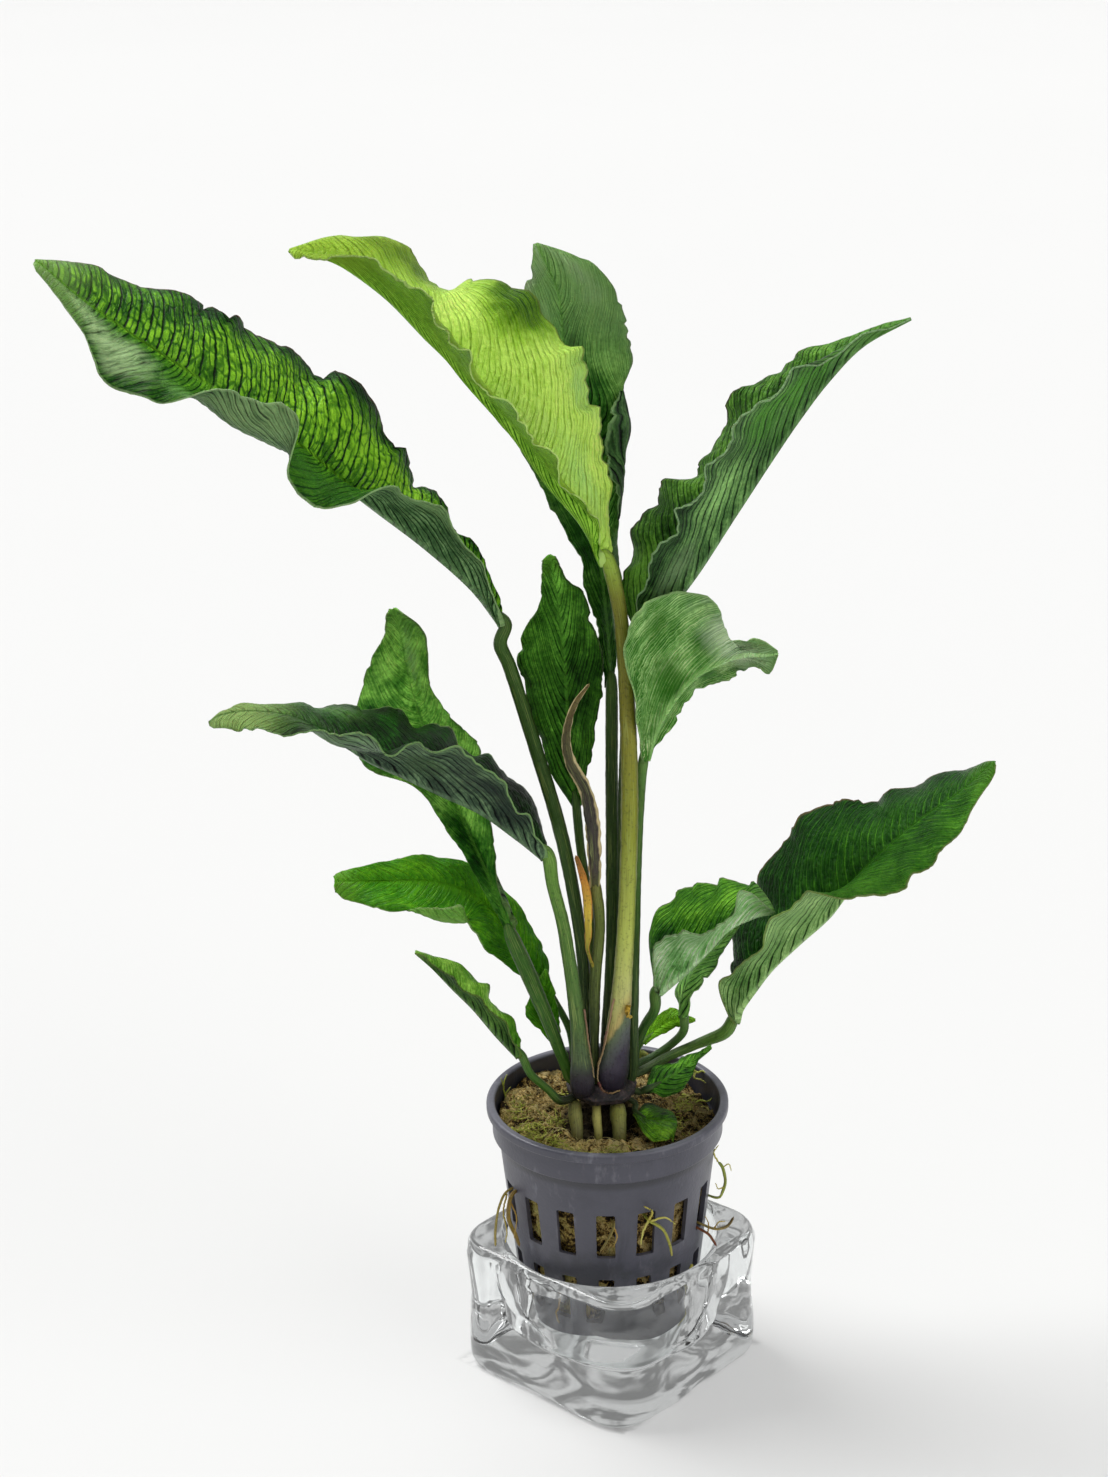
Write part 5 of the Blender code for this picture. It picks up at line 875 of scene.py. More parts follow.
def smooth_step(value, low, high):
    """A smooth step from 0 at low to 1 at high."""
    share = min(max((value - low) / (high - low), 0.0), 1.0)
    return share * share * (3 - 2 * share)


def curve_through(points, position):
    """A smooth curve through points of any size, at a position counted in points."""
    last = len(points) - 1
    index = min(int(position), last - 1)
    part = position - index
    before = points[max(index - 1, 0)]
    start = points[index]
    end = points[index + 1]
    after = points[min(index + 2, last)]
    slope_in = (end - before) / 2 if index > 0 else end - start
    slope_out = (after - start) / 2 if index + 2 <= last else end - start
    square = part * part
    cube = square * part
    return (start * (2 * cube - 3 * square + 1) + slope_in * (cube - 2 * square + part)
            + end * (3 * square - 2 * cube) + slope_out * (cube - square))


def line_length(points):
    """The length of a line through points."""
    return sum((after - before).length for before, after in zip(points, points[1:]))


def even_positions(points, count):
    """Positions, counted in points, that are spread evenly along a line of points."""
    lengths = [(after - before).length for before, after in zip(points, points[1:])]
    total = sum(lengths)
    positions = []
    for step in range(count):
        distance = total * step / (count - 1)
        index = 0
        while index < len(lengths) - 1 and distance > lengths[index]:
            distance -= lengths[index]
            index += 1
        positions.append(index + min(distance / lengths[index], 1.0))
    return positions


def section_points(section):
    """Points across a blade: far edge, midrib, fold and near edge. The fold is None where there is none."""
    points = [spot(*place) for place in section]
    if len(points) == 3:
        points.insert(2, None)
    return points


def blade_rails(leaf):
    """Five lines that run along the blade, from base to tip."""
    sections = [section_points(section) for section in leaf.sections]
    ribs = [spot(*leaf.base)] + [section[1] for section in sections] + [spot(*leaf.tip)]
    rails = [[], [], ribs, [], []]
    for index, rib in enumerate(ribs):
        along = (ribs[min(index + 1, len(ribs) - 1)] - ribs[max(index - 1, 0)]).normalized()
        far, _, fold, near = sections[min(max(index - 1, 0), len(sections) - 1)]
        if index in (0, len(ribs) - 1):
            half_width = LEAF_BASE_HALF_WIDTH if index == 0 else LEAF_TIP_HALF_WIDTH
            across = (far - near) - along * (far - near).dot(along)
            far = rib + across.normalized() * half_width
            near = rib - across.normalized() * half_width
            fold = (rib + near) / 2
        upward = (far - near).cross(along).normalized()
        if upward.z < 0:
            upward = -upward
        far_middle = (rib + far) / 2 + upward * (far - rib).length * LEAF_CAMBER
        near_middle = fold or (rib + near) / 2 + upward * (near - rib).length * LEAF_CAMBER
        for rail, point in zip(rails, (far, far_middle, None, near_middle, near)):
            if point is not None:
                rail.append(point)
    return rails


def across_half(rib, middle, edge, share):
    """A point on the smooth arc from midrib to edge through the middle."""
    return (rib * (2 * share - 1) * (share - 1) + middle * 4 * share * (1 - share)
            + edge * share * (2 * share - 1))


def margin_reach(side, travel, length, half_width, look, seed):
    """How far out a blade's margin lies, as a share of its plain half width."""
    settings = bpy.context.scene.plant_blades
    distance = travel * length / MM
    place = distance / TOOTH_SPACING + 1.1 * wobble(distance / 11.0, seed)
    hook = (place % 1.0) ** 1.4
    depth = settings.tooth_depth * look.teeth[side > 0]
    cut_in = depth * hook * max(0.0, 0.8 + 1.6 * wobble(math.floor(place) * 1.37, seed + 2))
    cut_in += depth * (0.35 * wobble(distance / 1.1, seed + 3) + 0.9 * wobble(distance / 8.0, seed + 5))
    for notch_side, middle, depth, width in look.notches:
        if notch_side == side:
            offset = (travel - middle) / width
            if -NOTCH_STEEPNESS < offset < 1:
                cut_in += depth * MM * (1 - offset if offset > 0 else 1 + offset / NOTCH_STEEPNESS)
    fade = math.sin(math.pi * min(max(travel, 0.0), 1.0)) ** 0.4
    reach = 1 - min(cut_in * fade / max(half_width, MM), MOST_CUT_IN)
    left = max(1 - travel, 0.004)
    if left < TIP_SPAN:
        reach *= min((TIP_SPAN / left) ** look.blunt, MOST_BLUNT)
    return reach


def blade_sheet(leaf, look, seed):
    """The blade's middle surface: rows of (point, along, across, vein, across in mm) from far to near."""
    settings = bpy.context.scene.plant_blades
    pitch_scale = 1.0
    rails = blade_rails(leaf)
    length = line_length(rails[2])
    widest = max((edge - rib).length for edges in (rails[0], rails[4]) for edge, rib in zip(edges, rails[2]))
    rows = max(20, int(length / settings.row_pitch / pitch_scale))
    columns = max(6, int(widest / settings.column_pitch / pitch_scale))
    height, waves = leaf.ruffle
    spacing = look.veins[0]
    broad = min(settings.swell, widest * 0.05)
    sheet = []
    for row, position in enumerate(even_positions(rails[2], rows + 1)):
        far, far_middle, rib, near_middle, near = [curve_through(rail, position) for rail in rails]
        forward = curve_through(rails[2], min(position + SLOPE_STEP, len(rails[2]) - 1))
        back = curve_through(rails[2], max(position - SLOPE_STEP, 0))
        upward = (far - near).cross(forward - back).normalized()
        travel = row / rows
        along = travel * length / MM
        calm = math.sin(math.pi * travel) ** 0.5 if 0 < travel < 1 else 0.0
        reaches = {side: margin_reach(side, travel, length, (edge - rib).length, look, seed + side)
                   for side, edge in ((-1, far), (1, near))}
        line = []
        for column in range(-columns, columns + 1):
            side = -1 if column < 0 else 1
            middle, edge = (far_middle, far) if column < 0 else (near_middle, near)
            half_width = (edge - rib).length
            share = (abs(column) / columns) ** COLUMN_CROWDING
            reach = share * (1 + (reaches[side] - 1) * share ** 3)
            turn = math.tau * (waves * travel + (NEAR_RUFFLE_LEAD if column > 0 else 0.0))
            frill = share ** 3 * (wobble(along / FRILL_WAVE, seed + 9 * side)
                                  + 0.5 * share ** 2 * wobble(along / FINE_FRILL_WAVE, seed + 11 * side))
            frill *= look.frill
            bump = share * (1 - 0.5 * share) * 2 * noise_at(Vector((
                along / SWELL_WAVE, side * share * half_width / MM / SWELL_WAVE_ACROSS, seed * 3.7)))
            point = across_half(rib, middle, edge, reach)
            point = point + upward * calm * (height * MM * share ** 2 * math.sin(turn)
                                             + settings.fine_ruffle * frill + broad * bump)
            lean = look.veins[1 if side < 0 else 2]
            vein = (along - lean * half_width / MM * share ** VEIN_CURVE) / spacing
            vein += VEIN_UNEVENNESS * wobble(along / VEIN_WAVER, seed + 17 * side) + (
                NEAR_VEIN_LEAD if side > 0 else 0.0)
            line.append((point, travel, side * share, vein, side * share * half_width / MM))
        sheet.append(line)
    return sheet, length


def sheet_normal(sheet, row, column):
    """The direction square to the sheet at one of its points."""
    rows, columns = len(sheet) - 1, len(sheet[0]) - 1
    along = sheet[min(row + 1, rows)][column][0] - sheet[max(row - 1, 0)][column][0]
    across = sheet[row][min(column + 1, columns)][0] - sheet[row][max(column - 1, 0)][0]
    return across.cross(along).normalized()


def blade_mesh(name, leaf, look, seed):
    """A thin closed blade with a midrib keel below, a furrow above, and swellings between its veins."""
    settings = bpy.context.scene.plant_blades
    sheet, length = blade_sheet(leaf, look, seed)
    last_row, last_column = len(sheet) - 1, len(sheet[0]) - 1
    rib_radius = leaf.diameter * MM / 2
    quilt = PATTERNS[look.upper[0]].quilt * MM
    points, places, widths = [], [], []
    for side in (look.face, -look.face):
        upper = side == look.face
        for row, line in enumerate(sheet):
            for column, (point, travel, across, vein, reach) in enumerate(line):
                share = abs(across)
                normal = sheet_normal(sheet, row, column)
                thick = settings.rib_thickness + (settings.edge_thickness - settings.rib_thickness) * share
                fade = smooth_step(share, 0.02, 0.3) * (1 - smooth_step(share, 0.8, 1.0))
                fade *= 1 - smooth_step(travel, 0.9, 1.0)
                swell = -quilt * fade * look.face * math.cos(math.tau * vein)
                swell *= 0.6 + 0.8 * noise_at(Vector((vein * 0.31, reach * 0.16, seed)))
                keel = rib_radius * (1 - travel) ** 1.2 + KEEL_RADIUS
                ridge = math.sqrt(max(0.0, 1 - (reach * MM / (keel * KEEL_BREADTH)) ** 2)) * keel
                relief = -FURROW_SHARE * ridge if upper else ridge
                points.append(point + normal * (swell + side * (thick / 2 + relief)))
                places.append((travel, across, vein))
                widths.append((travel * length / MM, reach, 0.0))
    width = last_column + 1
    layer = (last_row + 1) * width
    corners = [row * width + column for row in range(last_row) for column in range(last_column)]
    faces = [(start + corner, start + corner + 1, start + corner + width + 1, start + corner + width)
             for start in (0, layer) for corner in corners]
    sides = [(row * width + column, width) for row in range(last_row) for column in (0, last_column)]
    ends = [(row * width + column, 1) for column in range(last_column) for row in (0, last_row)]
    faces += [(corner, corner + step, layer + corner + step, layer + corner) for corner, step in sides + ends]
    slots = [index // len(corners) % 2 if index < 2 * len(corners) else 0 for index in range(len(faces))]
    mesh = new_mesh(name, points, faces)
    mesh.polygons.foreach_set("material_index", slots)
    keep_values(mesh, "blade", places)
    keep_values(mesh, "blade_mm", widths)
    return tidy_mesh(mesh)


def tidy_mesh(mesh):
    """Face a closed mesh outwards and shade it smooth."""
    shape = bmesh.new()
    shape.from_mesh(mesh)
    bmesh.ops.recalc_face_normals(shape, faces=shape.faces)
    shape.to_mesh(mesh)
    shape.free()
    mesh.polygons.foreach_set("use_smooth", [True] * len(mesh.polygons))
    mesh.update()
    return mesh


def blade_material(name, look, upper):
    """Leaf skin: side veins, the fine net between them, patches, margins, a midrib, the tip's tint and
    painted light.
    """
    pattern_name, deep, light = look.upper if upper else look.under
    pattern = PATTERNS[pattern_name]
    shade = Shade(name)
    travel, across, vein = shade.attribute("blade")
    along_mm, across_mm, _ = shade.attribute("blade_mm")
    share = shade.math("ABSOLUTE", across)
    place = shade.place()
    patch = shade.uneven(place, 62.0, 3.0, 0.6)
    cloud = shade.uneven(place, 210.0, 3.0, 0.6)
    speck = shade.uneven(place, 1100.0, 3.0, 0.65)
    drift = shade.total((cloud, 0.5), (speck, 0.08))
    if not upper:
        spacing, far_lean, near_lean = look.under_veins
        near = shade.math("GREATER_THAN", across, 0.0)
        lean = shade.math("MULTIPLY_ADD", near, near_lean - far_lean, far_lean)
        out_mm = shade.math("POWER", shade.math("ABSOLUTE", across_mm), 0.94)
        leaning = shade.math("SUBTRACT", along_mm, shade.times(out_mm, lean))
        vein = shade.math("DIVIDE", leaning, spacing)
    vein = shade.math("ADD", vein, drift)
    flow = shade.join(vein, shade.times(across_mm, 0.10))
    streak = shade.uneven(flow, 2.3, 4.0, 0.65)
    strength = shade.step(shade.noise(place, 150.0, 2.0), 0.34, 0.66)
    nearness = shade.math("PINGPONG", vein, 0.5)
    vein_line = shade.times(shade.step(nearness, 0.13, 0.01), shade.total(0.35, strength))
    fine = shade.math("PINGPONG", shade.times(vein, 2.0), 0.5)
    fine_line = shade.times(shade.step(fine, 0.20, 0.02), shade.math("SUBTRACT", 1.15, strength))
    cell_place = shade.join(shade.times(vein, 2.0), shade.times(across_mm, 0.36))
    cell = shade.step(shade.cells(cell_place, 1.0, 0.70), 0.02, 0.17)
    band = shade.step(nearness, 0.06, 0.42)
    inward = shade.step(share, 1.0, 0.55)
    network = shade.times(shade.times(cell, pattern.cell),
                         shade.math("MULTIPLY_ADD", inward, 0.75, 0.25))
    if pattern_name == "network":
        far_side = shade.step(across, 0.30, -0.10)
        network = shade.times(network, far_side)
        vein_line = shade.times(vein_line, shade.math("MULTIPLY_ADD", far_side, 0.7, 0.3))
    # Painted light: the upper side is painted lighter or darker towards its tip and its near edge
    painted_light_along, painted_light_near = look.lift if upper else (0.0, 0.0)
    mass = shade.total(
        pattern.steady, network, (patch, pattern.patch * 1.5), (cloud, pattern.cloud * 1.3),
        (vein_line, pattern.vein), (fine_line, pattern.vein * 0.45), (band, pattern.band),
        (speck, 0.80), (streak, pattern.streak), (shade.math("SUBTRACT", travel, 0.5), painted_light_along),
        (across, painted_light_near))
    patches_and_sheen = []
    # Areas shift the tone or wash on a colour: the leaf's own patches, and painted sheen and highlights
    areas = look.upper_areas if upper else look.under_areas
    for along_middle, across_middle, along_reach, across_reach, change in areas:
        offset = shade.join(shade.math("DIVIDE", shade.math("SUBTRACT", travel, along_middle), along_reach),
                            shade.math("DIVIDE", shade.math("SUBTRACT", across, across_middle), across_reach))
        spread = shade.total(shade.length(offset), (patch, 1.6), (cloud, 1.2), (streak, 0.5))
        inside = shade.step(spread, 1.25, 0.15)
        if isinstance(change, tuple):
            patches_and_sheen.append((inside, change))
        else:
            mass = shade.total(mass, (inside, change))
    middle = tuple(0.55 * a + 0.45 * b for a, b in zip(deep, light))
    deepest = tuple(value * 0.40 for value in deep)
    brightest = tuple(min(value * 1.22 + 8, 255) for value in light)
    colour = shade.ramp(shade.math("MULTIPLY_ADD", mass, 0.5, 0.25), [
        (0.0, screen(*deepest)), (0.25, screen(*deep)), (0.5, screen(*middle)), (0.75, screen(*light)),
        (1.0, screen(*brightest))])
    for inside, wash in patches_and_sheen:
        amount = shade.total((vein_line, -0.35), (streak, 2.6), (cloud, 1.4), (inside, 0.72), clamp=True)
        amount = shade.times(amount, inside)
        colour = shade.mix(amount, colour, screen(*wash))
    tip_colour, tip_start = look.tip
    tip = shade.total(travel, (patch, 0.12))
    tip = shade.times(shade.step(tip, tip_start - 0.05, min(tip_start + 0.12, 1.0)), 0.65)
    colour = shade.mix(tip, colour, screen(*tip_colour))
    rib = shade.step(shade.math("ABSOLUTE", across_mm), 0.7, 0.2)
    rib_tint = [min(255, (a + 2 * b) / 3) for a, b in zip(deep, light)]
    colour = shade.tint(colour, rib, 0.5, rib_tint)
    # Margin tints: brown edges are the leaf's own colour, pale edges are partly painted highlight along lit
    # edges and folds
    far_tint, near_tint = (screen(*tint) for tint in look.margins)
    edge_tint_and_highlight = shade.mix(shade.math("GREATER_THAN", across, 0.0), far_tint, near_tint)
    rim = shade.step(shade.total(share, (patch, 0.05)), 0.960, 0.990)
    colour = shade.mix(shade.times(rim, 0.75), colour, edge_tint_and_highlight)
    base_roughness = bpy.context.scene.plant_blades.roughness + (0.0 if upper else 0.08)
    roughness = shade.total(base_roughness, (patch, 0.3), (speck, 0.3))
    height = shade.total((vein_line, -0.5), (cell, 0.3), (speck, 0.9), (fine_line, -0.3), (streak, 1.0),
                         (cloud, 1.6))
    shade.bump(height, 0.00055, 1.0)
    return shade.finish(colour, roughness, Subsurface_Weight=0.05, Subsurface_Scale=0.0010,
                        Specular_IOR_Level=0.12)


def tube_mesh(name, spots, radii_scale=1.0, before=None, after=None, groove=0.0, lumps=0.0, seed=0,
              sides=None):
    """A tapering tube along a smooth curve through spots of (across, up, depth, diameter).

    Before and after are points inside what the tube grows from. They take it past its first or last spot.
    """
    settings = bpy.context.scene.plant_stalks
    sides = sides or settings.sides
    points = [spot(*place[:3]) for place in spots]
    radii = [Vector((place[3] * MM / 2 * radii_scale, 0.0, 0.0)) for place in spots]
    length = line_length(points)
    lead = 0.0
    if before is not None:
        points.insert(0, before)
        radii.insert(0, radii[0] * ANCHOR_TAPER)
        lead = line_length(points) - length
    if after is not None:
        points.append(after)
        radii.append(radii[-1] * ANCHOR_TAPER)
    whole = line_length(points)
    pitch = settings.ring_pitch * 1.0
    rings = max(6, int(whole / pitch))
    positions = even_positions(points, rings + 1)
    side_way = None
    coordinates, places = [], []
    for ring, position in enumerate(positions):
        centre = curve_through(points, position)
        ahead = curve_through(points, min(position + TUBE_SLOPE_STEP, len(points) - 1))
        behind = curve_through(points, max(position - TUBE_SLOPE_STEP, 0))
        along = (ahead - behind).normalized()
        if side_way is None:
            side_way = along.cross(Vector((0.0, 1.0, 0.0))).normalized()
        side_way = (side_way - along * side_way.dot(along)).normalized()
        other_way = along.cross(side_way)
        radius = max(curve_through(radii, position).x, THINNEST_TUBE)
        gone = whole * ring / rings
        travel = min(max((gone - lead) / length, 0.0), 1.0)
        end_round = 1.0
        for distance in (gone, whole - gone):
            if distance < radius:
                end_round = min(end_round, math.sqrt(max(0.0, 1 - (1 - distance / radius) ** 2)) + 0.02)
        for side in range(sides):
            angle = math.tau * side / sides
            way = side_way * math.cos(angle) + other_way * math.sin(angle)
            dent = groove * smooth_step(math.sin(angle), GROOVE_START, 1.0)
            lump = lumps * wobble(travel * length / MM / LUMP_SPACING, seed + 2.1 * math.cos(angle))
            coordinates.append(centre + way * radius * end_round * (1 - dent + lump))
            places.append((travel, math.cos(angle), math.sin(angle)))
    mesh = new_mesh(name, coordinates, tube_faces(rings + 1, sides))
    keep_values(mesh, "stalk", places)
    return tidy_mesh(mesh), length


def stalk_material(name, stops, length, streak=0.5, speckle=0.3, edges=None, plain_from=2.0, slant=0.0):
    """Stalk skin: colour down its length, fine streaks, small specks, painted flank shade or given edge
    tints.

    The streaks end at plain_from. Slant is how much sooner the colours come on the right than on the left.
    """
    shade = Shade(name)
    travel, cosine, sine = shade.attribute("stalk")
    place = shade.place()
    uneven = shade.uneven(place, 300.0, 3.0)
    leaning = shade.times(shade.step(travel, 0.75, 0.88), cosine)
    down = shade.total(travel, (uneven, min(0.05, 0.003 / length)), (leaning, slant), clamp=True)
    colour = shade.ramp(down, [(position, screen(*tint)) for position, *tint in stops])
    lines = shade.join(shade.times(cosine, 3.2), shade.times(sine, 3.2),
                       shade.times(travel, length / MM * 0.05))
    streaks = shade.uneven(lines, 2.2, 3.0, 0.6)
    specks = shade.step(shade.noise(place, 1500.0, 2.0, 0.6), 0.54, 0.68)
    colour = shade.tint(colour, specks, speckle, SPECK_TINT)
    streaked = shade.times(shade.step(down, plain_from + 0.02, plain_from - 0.02), streak)
    colour = shade.tint(colour, shade.step(streaks, -0.02, -0.22), streaked, DARK_STREAK)
    colour = shade.tint(colour, shade.step(streaks, 0.0, 0.22), streaked, LIGHT_STREAK)
    # Painted shade on both flanks of the tube, unless a tint for its edges is given
    flank_shade = shade.step(shade.total(shade.math("ABSOLUTE", cosine), (streaks, 0.4)), 0.55, 1.0)
    if edges is None:
        colour = shade.tint(colour, flank_shade, 0.45, PAINTED_FLANK_SHADE)
    else:
        side = shade.step(shade.total(shade.math("ABSOLUTE", cosine), (uneven, 0.5)), 0.72, 0.92)
        colour = shade.tint(colour, side, 0.85, edges)
    shade.bump(shade.total(streaks, (specks, 0.3), (uneven, 0.8)), 0.00022, 0.9)
    roughness = shade.total(bpy.context.scene.plant_stalks.roughness, (streaks, 0.3))
    return shade.finish(colour, roughness, Subsurface_Weight=0.05, Subsurface_Scale=0.001,
                        Specular_IOR_Level=0.28)


def polar_mesh(name, rings, steps):
    """A closed mesh of rings. Each ring is a function of angle that gives (radius, height)."""
    coordinates = []
    for ring in rings:
        for step in range(steps):
            angle = math.tau * step / steps
            radius, height = ring(angle)
            coordinates.append((radius * math.cos(angle), radius * math.sin(angle), height))
    return new_mesh(name, coordinates, tube_faces(len(rings), steps))


def rounded_square(angle, inset):
    """How far out the holder's outline lies in a direction, when it is drawn in by an inset."""
    half = BLOCK_SIDE / 2 - inset
    corner = max(BLOCK_CORNER - inset, 0.001)
    flat = half - corner
    turned = angle - BLOCK_TURN
    longer, shorter = sorted((abs(math.cos(turned)), abs(math.sin(turned))), reverse=True)
    if half / longer * shorter <= flat:
        return half / longer
    reach = flat * (longer + shorter)
    return reach + math.sqrt(max(0.0, reach * reach - 2 * flat * flat + corner * corner))


def soft_minimum(first, second, width):
    """The smaller of two heights, with the crease between them rounded off."""
    share = min(max(0.5 + (second - first) / (2 * width), 0.0), 1.0)
    return second * (1 - share) + first * share - width * share * (1 - share)


def holder_ripple(angle, height, seed):
    """Waves of pressed glass."""
    settings = bpy.context.scene.plant_holder
    place = Vector((math.cos(angle) * 2.2, math.sin(angle) * 2.2, height / RIPPLE_HEIGHT + seed))
    return settings.ripple * 2 * noise_at(place)


def build_holder():
    """The clear holder: a rounded square block with a tapering well."""
    steps = HOLDER_STEPS
    rings = []

    def side_ring(height, inset=0.0):
        return lambda angle: (rounded_square(angle, inset) + holder_ripple(angle, height, 0.0), height)

    def top_ring(share):
        def ring(angle):
            outer = rounded_square(angle, 0.0)
            radius = outer - (outer - WELL_MOUTH_RADIUS) * share
            inset = outer - radius
            round_over = BLOCK_HEIGHT
            if inset < BLOCK_EDGE:
                round_over += math.sqrt(BLOCK_EDGE ** 2 - (BLOCK_EDGE - inset) ** 2) - BLOCK_EDGE
            chamfer = BLOCK_HEIGHT - WELL_CHAMFER + (radius - WELL_MOUTH_RADIUS)
            height = soft_minimum(soft_minimum(round_over, chamfer, CHAMFER_BLEND), BLOCK_HEIGHT, TOP_BLEND)
            return radius, height
        return ring

    def wall_ring(radius, height):
        return lambda angle: (radius + holder_ripple(angle, height, 9.0) * (radius / WELL_MOUTH_RADIUS),
                              height)

    rings.append(lambda angle: (0.004, 0.0))
    for share in (0.3, 0.6, 0.85):
        rings.append(lambda angle, share=share: (rounded_square(angle, BLOCK_EDGE) * share, 0.0))
    for index in range(9):
        turn = math.pi / 2 * (1 - index / 8)
        rings.append(side_ring(BLOCK_EDGE * (1 - math.sin(turn)), BLOCK_EDGE * (1 - math.cos(turn))))
    for index in range(1, 24):
        rings.append(side_ring(BLOCK_EDGE + (BLOCK_HEIGHT - 2 * BLOCK_EDGE) * index / 24))
    top_count = 30
    for index in range(1, top_count + 1):
        share = index / top_count
        rings.append(top_ring(share * share if share < 0.5 else 0.25 + (share - 0.5) * 1.5))
    floor_start = WELL_FLOOR + WELL_FILLET
    mouth, seat = (WELL_MOUTH_RADIUS, BLOCK_HEIGHT - WELL_CHAMFER), (WELL_SEAT_RADIUS, POT_BOTTOM)
    for start, end, count in ((mouth, seat, 14), (seat, (WELL_FLOOR_RADIUS, floor_start), 6)):
        for index in range(1, count + 1):
            rings.append(wall_ring(*(a + (b - a) * (index / count) for a, b in zip(start, end))))
    for index in range(1, 8):
        turn = math.pi / 2 * index / 7
        rings.append(wall_ring(WELL_FLOOR_RADIUS - WELL_FILLET * (1 - math.cos(turn)),
                               floor_start - WELL_FILLET * math.sin(turn)))
    for radius in (0.012, 0.006, 0.002):
        rings.append(wall_ring(radius, WELL_FLOOR))
    mesh = polar_mesh("glass_holder_clear", rings, steps)
    mesh.transform(Matrix.Translation((BLOCK_SHIFT, 0.0, 0.0)))
    tidy_mesh(mesh)
    settings = bpy.context.scene.plant_holder
    shade = Shade("clear_glass")
    cloud = shade.noise(shade.place(), 90.0, 3.0)
    tint = tuple(settings.tint)
    shade.bump(cloud, 0.00025, 0.35)
    material = shade.finish(shade.mix(cloud, tint, tuple(value * 0.985 for value in tint)),
                            shade.times(cloud, 0.03),
                            Transmission_Weight=1.0, IOR=settings.bend)
    place_piece("glass_holder_clear", mesh, [material], "clear_glass", "glass_holder")


def shell_radius(height):
    """The pot's outer radius at a height between its foot and its collar."""
    share = (height - POT_BOTTOM) / (COLLAR_BOTTOM - POT_BOTTOM)
    return SHELL_FOOT_RADIUS + (SHELL_TOP_RADIUS - SHELL_FOOT_RADIUS) * share


def arc(middle_radius, middle_height, radius, start, end, count):
    """Points of (radius, height) on an arc, with its angles in degrees from straight out."""
    points = []
    for index in range(count + 1):
        angle = math.radians(start + (end - start) * index / count)
        points.append((middle_radius + radius * math.cos(angle), middle_height + radius * math.sin(angle)))
    return points


